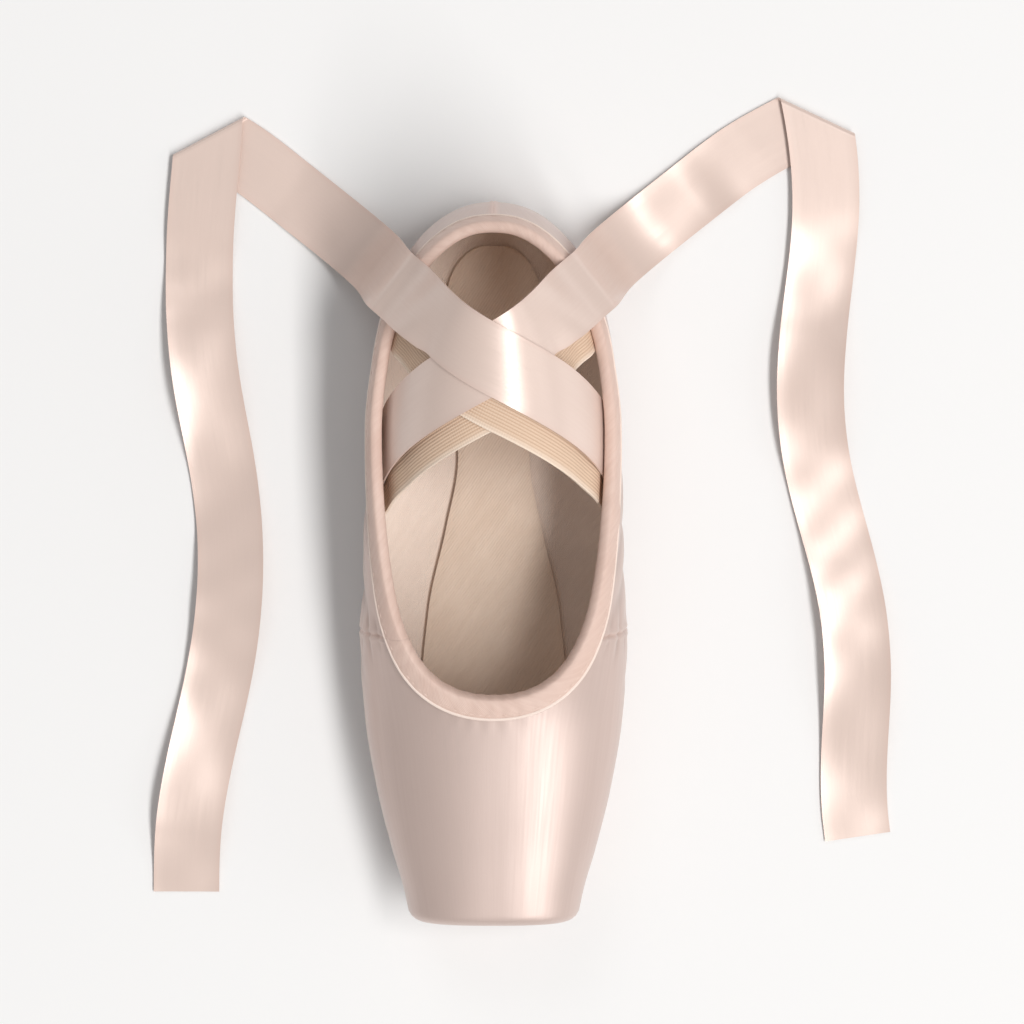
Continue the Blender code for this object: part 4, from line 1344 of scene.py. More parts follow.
@dataclass
class Binding:
    """Tape folded over the collar edge, with a piped lower edge and the join of its casing."""

    upper: Upper
    thickness: float = 0.0008
    outer_leg: float = 0.0065
    inner_leg: float = 0.005
    pipe: float = 0.00062
    join_forward: float = 0.100
    join_height: float = 0.00045
    puff: float = 0.00022
    pucker: Ripple = Ripple(height=0.00010, pitch=0.0052, drift=2.0, drift_pitch=0.041)
    stitch_insets: tuple[float, ...] = (0.0026, 0.0020, 0.0014)

    def _edge(self, depths: Sequence[float]) -> Laid:
        """Points of every profile at these depths below the collar, and their outward normals."""
        rows = []
        for line in self.upper.lines:
            turned = line[::-1]
            way = arc_lengths(turned)
            rows.append(np.stack([np.interp(depths, way, turned[:, k]) for k in range(3)], axis=1))
        grid = np.array(rows)
        return grid, -grid_normals(grid)

    def section(self) -> tuple[Points, Points, Points]:
        """The tape's section at every profile.

        Returns:
            Its points, its way round the section at each, and how piped each is, which sets the
            painted highlight.
        """
        last = self.upper.last
        depths = np.linspace(0, self.outer_leg, 9)
        grid, outward = self._edge(depths)
        down = unit(grid[:, 1] - grid[:, 0])
        skin = last.wall(grid[:, 0, 0])[:, None]
        near, far = 1.5 * last.clearance, 1.5 * last.clearance + self.thickness
        rim = ring_lengths(grid[:, 0])
        pucker = self.pucker.wave(rim)
        back = last.toe_x - grid[:, 0, 0]
        to_join = np.where(grid[:, 0, 1] > 0, back - (last.length - self.join_forward), 1.0)
        overlap = ease(to_join, -0.0042, -0.0034) - ease(to_join, 0.0030, 0.0046)
        join = self.join_height * overlap
        points, pipes = [], []

        def put(point: Points, piped: float) -> None:
            """Adds one point of the section."""
            points.append(point)
            pipes.append(np.full(len(grid), piped))

        put(grid[:, -1] + outward[:, -1] * near, 0.6)
        for turn in np.linspace(-90, 150, 7):
            rise, out = math.cos(math.radians(turn)), math.sin(math.radians(turn))
            centre = grid[:, -1] + outward[:, -1] * (near + self.pipe) - down * self.pipe
            put(centre + down * rise * self.pipe + outward[:, -1] * out * self.pipe, 1.0)
        for row in range(len(depths) - 2, 0, -1):
            share = depths[row] / self.outer_leg
            rucks = self.pucker.height * pucker * (1 - abs(2 * share - 1))
            level = far + self.puff * math.sin(math.pi * share) + rucks + join
            put(grid[:, row] + outward[:, row] * level[:, None], 0.0)
        middle, half = -skin / 2, skin / 2 + far
        for turn in np.linspace(15, 165, 9):
            c, s = math.cos(math.radians(turn)), math.sin(math.radians(turn))
            lift = far * (0.30 + 0.85 * s) + 0.5 * join[:, None] + 0.00008 * pucker[:, None]
            put(grid[:, 0] + outward[:, 0] * (middle + half * c) - down * lift, 0.0)
        for share in (0.15, 0.45, 0.8, 1.0):
            put(grid[:, 0] - outward[:, 0] * (skin + far) + down * self.inner_leg * share, 0.0)
        put(grid[:, 0] - outward[:, 0] * (skin + near) + down * self.inner_leg, 0.0)
        put(grid[:, 0] - outward[:, 0] * (skin + near) - down * near, 0.0)
        put(grid[:, 0] + outward[:, 0] * near - down * near, 0.0)
        put(grid[:, 4] + outward[:, 4] * near, 0.0)
        ring, piped = np.stack(points, axis=1), np.stack(pipes, axis=1)
        way = row_lengths(ring)
        return ring, np.stack([np.broadcast_to(rim[:, None], way.shape), way], axis=-1), piped

    def seam_line(self) -> Laid:
        """Where the tape is stitched down, and the outward normals there."""
        grid, outward = self._edge(self.outer_leg - np.array(self.stitch_insets))
        off = 1.5 * self.upper.last.clearance + self.thickness + 0.00014
        return grid[:, 1] + outward[:, 1] * off, outward[:, 1]

    def dress(self, tape: Material) -> Object:
        """Builds the binding in this finish."""
        ring, uv, piped = self.section()
        count, around = ring.shape[:2]
        # The pipe mask sets the painted highlight on the piped bead.
        masks = {"pipe": piped, "crease": np.zeros(piped.shape)}
        return Mesh(ring, tube_faces(count, around, True), uv, masks).piece("binding_tape", (tape,))


# The sole and the sock


@dataclass
class Outsole:
    """The leather sole, with its rim rounded and burnished and a tack at each end."""

    last: Last
    steps: int = 120
    columns: int = 25
    edge: float = 0.0007
    tacks: tuple[float, ...] = (0.034, 0.138)
    tack_radius: float = 0.0012

    def dress(self, leather: Material) -> Object:
        """Builds the sole in this finish."""
        last = self.last
        share = (1 - np.cos(np.linspace(0.018, 0.982, self.steps) * math.pi)) / 2
        toe, heel = last.sole_toe_setback, last.sole_heel_setback
        backs = toe + (last.length - toe - heel) * share
        across = np.sin(np.linspace(-1, 1, self.columns) * math.pi / 2)
        rows, rims, rubs = [], [], []
        for back in backs:
            half = float(last.sole_half_width(back))
            low = float(last.rise(back))
            x = last.toe_x - back
            edge = min(self.edge, half / 3)
            turns = np.linspace(0, math.pi / 2, 5)
            corner = [(edge * (1 - math.sin(t)), edge * (1 - math.cos(t))) for t in turns]
            top = [(y * half, low + last.outsole_thickness) for y in across]
            right = [(half - inset, low + up) for inset, up in reversed(corner)]
            inner = across[::-1][1:-1]
            under = [(y * (half - edge), low + self._dimple(back, y * half)) for y in inner]
            left = [(-(half - inset), low + up) for inset, up in corner]
            ring = top + right + under + left
            rows.append([(x, y, z) for y, z in ring])
            near = [half - abs(y) for y, _ in ring]
            rims.append([float(1 - 0.92 * ease(n, 0.0, 0.0022)) for n in near])
            ball = float(bell(back - 0.075, 0.035))
            rubs.append([ball * float(ease(n, 0.002, 0.008)) for n in near])
        ring = np.array(rows)
        ends = 1 - ease(np.minimum(backs - toe, last.length - heel - backs), 0.0, 0.0022)[:, None]
        rim = np.clip(np.maximum(np.array(rims), ends), 0, 1)
        faces = tube_faces(len(backs), ring.shape[1], False)
        mesh = Mesh(ring, faces, None, {"rim": rim, "rub": np.array(rubs)})
        return mesh.piece("outsole_leather", (leather,), sharp=60)

    def _dimple(self, back: float, y: float) -> float:
        """How far the underside is pressed in round a tack."""
        apart = min(math.hypot(back - tack, y) for tack in self.tacks)
        return 0.0004 * float(bell(apart, 1.5 * self.tack_radius))

    def tack_heads(self, metal: Material) -> Object:
        """The tacks' domed heads, set into the underside."""
        verts: list[tuple[float, float, float]] = []
        faces: list[tuple[int, ...]] = []
        rings = ((1.0, 0.00045), (1.0, 0.00030), (0.86, 0.00016), (0.5, 0.00010), (0.0, 0.00008))
        for back in self.tacks:
            start, low, x = len(verts), float(self.last.rise(back)), self.last.toe_x - back
            for share, height in rings[:-1]:
                for turn in np.linspace(0, 2 * math.pi, 24, endpoint=False):
                    out = share * self.tack_radius
                    verts.append((x + out * math.cos(turn), out * math.sin(turn), low + height))
            verts.append((x, 0.0, low + rings[-1][1]))
            for ring in range(len(rings) - 2):
                for k in range(24):
                    n = (k + 1) % 24
                    a, b = start + ring * 24, start + (ring + 1) * 24
                    faces.append((a + k, a + n, b + n, b + k))
            last_ring, tip = start + (len(rings) - 2) * 24, len(verts) - 1
            faces += [(last_ring + k, last_ring + (k + 1) % 24, tip) for k in range(24)]
            faces.append(tuple(start + k for k in reversed(range(24))))
        return Mesh(np.array(verts), faces).piece("sole_tacks", (metal,))


@dataclass
class Insole:
    """The sock board on the turned-in edge of the upper."""

    last: Last
    thickness: float = 0.002
    margin: float = -0.0005
    toe_setback: float = 0.015
    heel_setback: float = 0.014
    steps: int = 110
    columns: int = 21

    def dress(self, sock: Material) -> Object:
        """Builds the sock board in this finish."""
        last = self.last
        share = (1 - np.cos(np.linspace(0.035, 0.965, self.steps) * math.pi)) / 2
        backs = self.toe_setback + (last.length - self.toe_setback - self.heel_setback) * share
        across = np.linspace(-1, 1, self.columns)
        rows = []
        for back in backs:
            setbacks = (self.toe_setback, self.heel_setback)
            half = float(last.sole_half_width(back, *setbacks, self.margin))
            x, step = last.toe_x - back, last.clearance
            low = []
            for y in across * half:
                here = last.underside_height(back, y)
                next_to = last.underside_height(back, abs(y) + step)
                slope = float(next_to - last.underside_height(back, abs(y))) / step
                wall = last.wall(x) * math.sqrt(1 + slope * slope)
                low.append(float(here + wall + 1.5 * last.clearance))
            rounded = self.thickness * (1 - 0.28 * np.abs(across) ** 8)
            top = [(x, y * half, z + t) for y, z, t in zip(across, low, rounded, strict=True)]
            below = zip(across[::-1], low[::-1], strict=True)
            rows.append(top + [(x, y * half, z) for y, z in below])
        ring = np.array(rows)
        mesh = Mesh(ring, tube_faces(len(backs), ring.shape[1], False))
        return mesh.piece("insole_sock", (sock,))


# Elastics and ribbons


@dataclass
class Strap:
    """A strip that rises from inside the collar and crosses the opening."""

    last: Last
    name: str
    side: Side
    width: float
    thickness: float
    front: float
    rear: float
    layers: float
    sewn_layers: float
    over_rear: bool
    sewn_depth: float = 0.020
    coarse_steps: int = 36
    tape: float = 0.0008
    tape_inner_leg: float = 0.005

    @staticmethod
    def square_half_width(rows: Points) -> Points:
        """Half the width of a strip, square to its way.

        Args:
            rows: Its rows of three points, shaped (steps, 3, 3).

        Returns:
            The half width at each row.
        """
        along = unit(np.gradient(rows[:, 1], axis=0))
        side = (rows[:, 2] - rows[:, 0]) / 2
        return np.linalg.norm(side - (side * along).sum(axis=1)[:, None] * along, axis=1)

    def over_instep(self) -> Laid:
        """Three rows of points and normals of the strap's middle layer over the instep.

        Returns:
            Points and normals, each shaped (steps, 3, 3).
        """
        last, width = self.last, self.width
        front, rear = last.length - self.front, last.length - self.rear
        angles = np.linspace(0.02, math.pi - 0.02, 500)
        arcs = arc_lengths(last.form_point(np.full(500, (front + rear) / 2), angles))
        start = np.interp(last.collar_angle(front), angles, arcs)
        end = np.interp(math.pi - last.collar_angle(rear), angles, arcs)
        slant = (rear - front) / (end - start)
        stop = end - 1.35 * width if self.over_rear else end + self.sewn_depth
        way = np.linspace(start - self.sewn_depth, stop, self.coarse_steps)
        half = np.full((self.coarse_steps, 1), width / 2 / math.hypot(1, slant))
        leg = self.tape_inner_leg
        sides = np.array((-1, 0, 1))
        for _ in range(4):
            arc = way[:, None] - slant * half * sides
            back = front + slant * (way - start)[:, None] + half * sides
            angle = np.interp(arc, arcs, angles)
            bare = last.form_point(back, angle)
            half = half * width / (2 * self.square_half_width(bare))[:, None]
        normal = last.form_normal(back, angle)
        above = bare[..., 2] - last.collar_height(back)
        sewn = np.where(arc < (start + end) / 2, self.sewn_layers, 0)
        stack = sewn + (self.layers - sewn) * ease(above, 0, 0.6 * width)
        skin = last.wall(bare[..., 0]) + 2.5 * last.clearance
        tape = (self.tape + last.clearance) * ease(above, -2.6 * leg, -1.5 * leg)
        return bare - normal * (skin + tape + stack)[..., None], normal

    def placed(self, points: Points) -> Points:
        """Points on the strap's own side."""
        return points * np.array((1, self.side.value, 1))

    def end_seam(self, points: Points, normals: Points, rear: bool) -> Laid:
        """A stitched oblong that holds an end inside the shoe.

        Args:
            points: The strap's fine middle layer.
            normals: Its normals.
            rear: Whether it is the far end.

        Returns:
            Points of a closed line on the strap's inner face and the normals into the shoe.
        """
        way = arc_lengths(points[:, points.shape[1] // 2])
        if rear:
            points, normals, way = points[::-1], normals[::-1], way[-1] - way[::-1]
        first = int(np.searchsorted(way, 0.0022))
        last = int(np.searchsorted(way, self.sewn_depth - 1.5 * self.tape_inner_leg))
        inset = 2
        corners = [(i, inset) for i in range(first, last)]
        corners += [(last, j) for j in range(inset, points.shape[1] - inset)]
        corners += [(i, points.shape[1] - 1 - inset) for i in range(last, first, -1)]
        corners += [(first, j) for j in range(points.shape[1] - 1 - inset, inset, -1)]
        rows, columns = np.array(corners).T
        inward = -normals[rows, columns]
        face = points[rows, columns] + inward * 0.5 * self.thickness
        return self.placed(face), self.placed(inward)

    def solid(
        self, points: Points, normals: Points, half: Points, edge: Points, material: Material
    ) -> Object:
        """A closed thin strip about a grid of points.

        Args:
            points: Its middle layer, shaped (along, across, 3).
            normals: Normals of the same shape.
            half: Half thickness at each place across.
            edge: The mask edge at each place across.
            material: Its finish.

        Returns:
            The piece.
        """
        count, columns = points.shape[:2]
        top = points + normals * half[None, :, None]
        low = points - normals * half[None, :, None]
        ring = np.concatenate([top, low[:, ::-1]], axis=1)
        way = arc_lengths(points[:, columns // 2])
        across = np.linspace(-0.5, 0.5, columns) * self.width
        v = np.concatenate([across, across[::-1]])
        uv = np.stack(np.broadcast_arrays(way[:, None], v[None, :]), axis=-1)
        mask = np.broadcast_to(np.concatenate([edge, edge[::-1]])[None, :], ring.shape[:2])
        blank = np.zeros(ring.shape[:2])
        masks = {"edge": mask, "seam": 0.5 * mask, "crease": blank, "rub": blank}
        mesh = Mesh(self.placed(ring), tube_faces(count, 2 * columns, False), uv, masks)
        return mesh.piece(self.name, (material,), sharp=70)


@dataclass
class Elastic(Strap):
    """Elastic webbing with corded edges, sewn inside at both ends."""

    step: float = 0.0011
    columns: int = 17

    def dress(self, material: Material) -> tuple[Object, list[Laid]]:
        """Builds the elastic, and gives the lines of its two end seams."""
        rows, normal_rows = self.over_instep()
        sides = np.linspace(-1, 1, self.columns)
        points = refined(rows, rows, self.step, sides)
        normals = unit(refined(normal_rows, rows, self.step, sides))
        edge = ease(np.abs(sides), 0.82, 0.94)
        cord = edge * (1 - 0.8 * ease(np.abs(sides), 0.96, 1.02))
        half = self.thickness / 2 * (0.86 + 0.4 * cord)
        obj = self.solid(points, normals, half, edge, material)
        return obj, [self.end_seam(points, normals, rear) for rear in (False, True)]

    def flat_length(self) -> float:
        """Length of the elastic along its middle."""
        return float(arc_lengths(self.over_instep()[0][:, 1])[-1])


@dataclass
class FloorRun:
    """How a ribbon lies on the floor, in degrees and in shares of its length or width."""

    fold: float
    fold_turn: float
    bend: float
    wave: float
    wave_length: float
    hump: float
    hump_length: float
    roll: float


@dataclass
class Ribbon(Strap):
    """Satin ribbon, sewn inside the waist, over the far collar, then loose on the floor."""

    run: FloorRun = field(default_factory=lambda: FloorRun(0.08, 110, 0, 0, 1, 0, 1, 0))
    length: float = 0.50
    fall_step: float = 0.004
    floor_step: float = 0.0085
    fold_radius: float = 0.0011
    step: float = 0.0016
    columns: int = 13
    drop: Table = table(
        out=(0.17, 0.30, 0.64, 1.22, 1.95), height=(0.52, 0.30, 0.115, 0.030, 0.011),
    )

    def _wall_distance(self, origin: Points, heading: Points, height: float) -> float:
        """How far the last's outer face lies at this height, by the ribbon's inner edge."""
        aside = np.cross(UP, heading) * self.width / 2
        start = np.array([origin[0], origin[1], height]) + np.outer((-1, 0, 1), aside)
        ends = self.last.ray_ends(start, np.repeat(heading[None], 3, axis=0))
        return float(np.linalg.norm(ends - start, axis=1).max())

    def _fall(self, leave: Points, heading: Points) -> Points:
        """Middle line from the last, over the collar and down outside it to the floor."""
        last, width = self.last, self.width
        over = float(last.collar_height(last.toe_x - leave[0] - heading[0] * width / 2))
        to_rim = 0.0
        for _ in range(4):
            to_rim = self._wall_distance(leave, heading, over)
            over = float(last.collar_height(last.toe_x - leave[0] - heading[0] * to_rim))
        to_full = self._wall_distance(leave, heading, last.girth_height)
        tape = 3 * last.clearance + self.tape
        knots = [
            (0, leave[2]), (0.45 * to_rim, 0.55 * leave[2] + 0.45 * over + 0.17 * width),
            (to_rim - last.quarter_wall, over + tape + 0.1 * width),
            (to_rim + tape + 0.12 * width, over - 0.06 * width),
        ]
        shares = zip(self.drop["out"], self.drop["height"], strict=True)
        knots += [(to_full + out * width, over * height) for out, height in shares]
        flat = np.array((leave[0], leave[1], 0))
        knots = np.array([flat + heading * out + UP * height for out, height in knots])
        way = arc_lengths(knots)
        fine = np.linspace(0, way[-1], 400)
        path = np.stack([curve(way, knots[:, k], fine) for k in range(3)], axis=1)
        length = arc_lengths(path)
        at = np.linspace(0, length[-1], max(2, round(length[-1] / self.fall_step) + 1))
        return np.stack([np.interp(at, length, path[:, k]) for k in range(3)], axis=1)

    def _folded(self, points: Points, normals: Points, crease: Points, across: Points) -> Laid:
        """The strip folded back over a crease, round a small radius.

        Args:
            points: Points of the strip that lies flat.
            normals: Its normals.
            crease: A point of the crease, seen from above.
            across: The level direction square to it.

        Returns:
            Points and normals of the folded strip.
        """
        ahead = (points[..., :2] - crease) @ across
        angle = np.clip(ahead / self.fold_radius, 0, math.pi)
        back = np.maximum(ahead - math.pi * self.fold_radius, 0)
        moved = np.minimum(ahead, 0) + self.fold_radius * np.sin(angle) - back
        lift = self.fold_radius * (1 - np.cos(angle))
        level = (moved - ahead)[..., None] * across
        points = points + np.concatenate([level, lift[..., None]], axis=-1)
        out, up = normals[..., :2] @ across, normals[..., 2]
        change = out * np.cos(angle) - up * np.sin(angle) - out
        level = normals[..., :2] + change[..., None] * across
        turned = out * np.sin(angle) + up * np.cos(angle)
        return points, np.concatenate([level, turned[..., None]], axis=-1)

    def _lie(self, start: Points, heading: Points, side: Points, length: float) -> Laid:
        """Three rows of points and normals on the floor for this length, folded over once.

        Args:
            start: The middle point where the ribbon reaches the floor.
            heading: Its direction there.
            side: Its sideways direction there.
            length: How much of it lies on the floor.

        Returns:
            Points and normals, each shaped (steps, 3, 3).
        """
        run, width = self.run, self.width
        fold, turn = run.fold * self.length, math.pi * self.fold_radius
        near = fold + turn * np.linspace(-1.5, 2.5, 21)
        before = np.linspace(0, near[0], round(near[0] / self.floor_step) + 1)[1:-1]
        after = np.linspace(near[-1], length, round((length - near[-1]) / self.floor_step) + 1)[1:]
        at = np.concatenate([before, near, after])
        begin = math.atan2(heading[1], heading[0])

        def waves(way: Points) -> Points:
            """Phase of the heading's waves."""
            return 2 * math.pi * way / (run.wave_length * self.length)

        def facing(way: Points) -> Points:
            """Heading at this distance, before the fold turns it."""
            bend = math.radians(run.bend) * ease(way, fold, length)
            wave = math.radians(run.wave) * np.sin(waves(way)) * ease(way, 0, 0.1 * length)
            return begin + bend + wave

        step = np.diff(np.concatenate([[0], at]))
        middle = facing(at - step / 2)
        moves = np.stack([np.cos(middle), np.sin(middle)], axis=1) * step[:, None]
        xy = start[:2] + np.cumsum(moves, axis=0)
        at_fold = np.abs(at - fold - turn / 2)
        settle = ease(length - at, 0, 0.1 * length) * ease(at_fold, 1.2 * width, 2.2 * width)
        roll = math.radians(run.roll) * np.sin(1.3 * waves(at)) * settle
        hump = np.sin(math.pi * at / (run.hump_length * self.length)) ** 2
        rest = self.thickness / 2 + self.last.clearance
        low = rest + (start[2] - rest) * (1 - ease(at, 0, width))
        past = fold + turn
        low = low - 2 * self.fold_radius * ease(at, past + 1.15 * width, past + 2.1 * width)
        z = low + run.hump * width * hump * settle + width / 2 * np.abs(np.sin(roll))
        way = facing(at)
        along = np.stack([np.cos(way), np.sin(way), 0 * way], axis=1)
        level = np.stack([-np.sin(way), np.cos(way), 0 * way], axis=1)
        level = level * np.sign(level[0] @ side)
        cross = level * np.cos(roll)[:, None] + UP * np.sin(roll)[:, None]
        slant = math.radians(run.fold_turn / 2)
        outward = np.sign(level[0] @ np.array((-math.sin(begin), math.cos(begin), 0)))
        skewed = 1 - ease(at_fold, 0.75 * turn, 1.6 * width)
        skew = (along * (outward * skewed / math.tan(slant))[:, None]) * width / 2
        centre = np.concatenate([xy, z[:, None]], axis=1)
        rows = np.stack([centre + (cross * width / 2 + skew) * k for k in (-1, 0, 1)], axis=1)
        normals = np.cross(along, cross)
        normals = np.repeat((normals * np.sign(normals[:, 2:]))[:, None], 3, axis=1)
        i = int(np.argmin(np.abs(at - fold)))
        across = along[i, :2] * math.sin(slant) - level[i, :2] * outward * math.cos(slant)
        return self._folded(rows, normals, xy[i], across)

    def path(self) -> tuple[Points, Points, float, float]:
        """Three rows of its points and normals, and its lengths on the instep and the floor."""
        points, normals = self.over_instep()
        held = float(arc_lengths(points[:, 1])[-1])
        heading = points[-1, 1] - points[-3, 1]
        heading = np.array((heading[0], heading[1], 0)) / math.hypot(heading[0], heading[1])
        fall = self._fall(points[-1, 1], heading)[1:]
        used = held + float(arc_lengths(fall)[-1]) + self.fall_step
        level = np.cross(UP, heading)
        on_last = points[-1, 2] - points[-1, 0]
        on_last /= np.linalg.norm(on_last)
        level = level * np.sign(level @ on_last)
        turned = ease(np.arange(1, len(fall) + 1) * self.fall_step, 0, self.width)[:, None]
        side = on_last * (1 - turned) + level * turned
        normal = unit(np.cross(np.gradient(fall, axis=0), side))
        edges = np.stack([fall - side, fall, fall + side], axis=1)
        side = side / self.square_half_width(edges)[:, None]
        free = np.stack([fall + side * self.width / 2 * k for k in (-1, 0, 1)], axis=1)
        free_normals = np.repeat(normal[:, None], 3, axis=1)
        free_normals = free_normals * np.sign(free_normals[0, 1] @ normals[-1, 1])
        lie, lie_normals = self._lie(fall[-1], heading, level, self.length - used)
        lie_normals = lie_normals * np.sign(lie_normals[0, 1] @ free_normals[-1, 1])
        rows = np.concatenate([points, free, lie])
        return rows, np.concatenate([normals, free_normals, lie_normals]), held, self.length - used

    def dress(self, material: Material) -> tuple[Object, list[Laid]]:
        """Builds the ribbon, and gives the line of its end seam."""
        rows, normal_rows, held, floor_length = self.path()
        sides = np.linspace(-1, 1, self.columns)
        points = refined(rows, rows, self.step, sides)
        normals = unit(refined(normal_rows, rows, self.step, sides))
        way = arc_lengths(points[:, self.columns // 2])[:, None]
        fold = way[-1] - (floor_length - self.run.fold * self.length)
        loose = ease(way, held + 2.2 * self.width, held + 4.5 * self.width)
        loose = loose * ease(np.abs(way - fold), 1.3 * self.width, 2.3 * self.width)
        curl = 0.0007 * np.abs(sides[None, :]) ** 3 * (0.7 + 0.3 * np.sin(way * 61))
        ripple = 0.00022 * np.sin(way * 260 + 2.2 * np.sin(way * 47)) * np.cos(sides[None, :] * 2.2)
        points = points + UP * (loose * (curl + ripple))[..., None]
        floor = self.thickness / 2 + self.last.clearance
        points[..., 2] = np.maximum(points[..., 2], floor)
        edge = ease(np.abs(sides), 0.90, 0.98)
        half = self.thickness / 2 * (0.9 + 0.2 * edge)
        obj = self.solid(points, normals, half, edge, material)
        return obj, [self.end_seam(points, normals, False)]


# Stitches


@dataclass
class Stitching:
    """Geometry nodes that set a row of stitches along a line."""

    pitch: float = 0.0027
    length: float = 0.0019
    radius: float = 0.00019
    seed: int = 4
    tree: Tree = field(init=False)

    def __post_init__(self) -> None:
        """Builds the node tree."""
        self.tree = self._build()

    def _build(self) -> Tree:
        """The tree: a stitch at each even step, turned along the line and out of the cloth."""
        tree = bpy.data.node_groups.new("Row of stitches", "GeometryNodeTree")
        face = tree.interface
        face.new_socket("Geometry", in_out="INPUT", socket_type="NodeSocketGeometry")
        for label in ("Pitch", "Length", "Radius"):
            face.new_socket(label, in_out="INPUT", socket_type="NodeSocketFloat")
        face.new_socket("Seed", in_out="INPUT", socket_type="NodeSocketInt")
        face.new_socket("Thread", in_out="INPUT", socket_type="NodeSocketMaterial")
        face.new_socket("Geometry", in_out="OUTPUT", socket_type="NodeSocketGeometry")
        w = Wiring(tree)
        given, made = w.node("NodeGroupInput").outputs, w.node("NodeGroupOutput").inputs
        line = w.node("GeometryNodeMeshToCurve", {"Mesh": given["Geometry"]}).outputs[0]
        even = w.node("GeometryNodeResampleCurve", {"Curve": line}, mode="LENGTH")
        w.put(even.inputs["Length"], given["Pitch"])
        tangent = w.node("GeometryNodeInputTangent").outputs[0]
        named = "GeometryNodeInputNamedAttribute"
        facing = w.node(named, {"Name": "facing"}, data_type="FLOAT_VECTOR")
        along = w.node("FunctionNodeAlignRotationToVector", {"Vector": tangent}, axis="X")
        outward = w.node(
            "FunctionNodeAlignRotationToVector",
            {"Rotation": along.outputs[0], "Vector": facing.outputs["Attribute"]}, axis="Z",
            pivot_axis="X",
        )
        facets = {"Segments": 8, "Rings": 6, "Radius": 1.0}
        ball = w.node("GeometryNodeMeshUVSphere", facets).outputs["Mesh"]
        half, flat = w.times(given["Length"], 0.5), w.times(given["Radius"], 0.75)
        size = w.node("ShaderNodeCombineXYZ", {0: half, 1: given["Radius"], 2: flat}).outputs[0]
        stitch = w.node("GeometryNodeTransform", {"Geometry": ball, "Scale": size}).outputs[0]
        uneven = w.node("FunctionNodeRandomValue", data_type="FLOAT_VECTOR")
        w.put(uneven.inputs["Min"], (0.86, 0.85, 0.85))
        w.put(uneven.inputs["Max"], (1.06, 1.1, 1.1))
        w.put(uneven.inputs["Seed"], given["Seed"])
        copies = {"Points": even.outputs[0], "Instance": stitch}
        row = w.node("GeometryNodeInstanceOnPoints", copies)
        w.put(row.inputs["Rotation"], outward.outputs[0])
        w.put(row.inputs["Scale"], uneven.outputs["Value"])
        real = w.node("GeometryNodeRealizeInstances", {"Geometry": row.outputs[0]}).outputs[0]
        dressed = {"Geometry": real, "Material": given["Thread"]}
        done = w.node("GeometryNodeSetMaterial", dressed).outputs[0]
        w.put(made["Geometry"], done)
        return tree

    def sew(self, name: str, lines: Sequence[Laid], thread: Material) -> Object:
        """Sews closed lines.

        Args:
            name: Name of the piece.
            lines: Points of each line and the direction out of the cloth at each.
            thread: Finish of the stitches.

        Returns:
            The stitches as one plain mesh.
        """
        verts = np.concatenate([points for points, _ in lines])
        facing = np.concatenate([directions for _, directions in lines])
        edges, start = [], 0
        for points, _ in lines:
            count = len(points)
            edges += [(start + i, start + (i + 1) % count) for i in range(count)]
            start += count
        guide = bpy.data.meshes.new(name + "_guide")
        guide.from_pydata(verts.tolist(), edges, [])
        attribute = guide.attributes.new("facing", "FLOAT_VECTOR", "POINT")
        attribute.data.foreach_set("vector", facing.astype(np.float32).ravel())
        obj = bpy.data.objects.new(name, guide)
        bpy.context.scene.collection.objects.link(obj)
        modifier = obj.modifiers.new("stitches", "NODES")
        modifier.node_group = self.tree
        values = {"Pitch": self.pitch, "Length": self.length, "Radius": self.radius}
        values |= {"Seed": self.seed, "Thread": thread}
        for item in self.tree.interface.items_tree:
            if item.in_out == "INPUT" and item.name in values:
                modifier[item.identifier] = values[item.name]
        bpy.context.view_layer.update()
        graph = bpy.context.evaluated_depsgraph_get()
        plain = bpy.data.meshes.new_from_object(obj.evaluated_get(graph))
        obj.modifiers.clear()
        obj.data = plain
        plain.name = name
        plain.shade_smooth()
        if not plain.materials:
            plain.materials.append(thread)
        bpy.data.meshes.remove(guide)
        return obj


# The studio


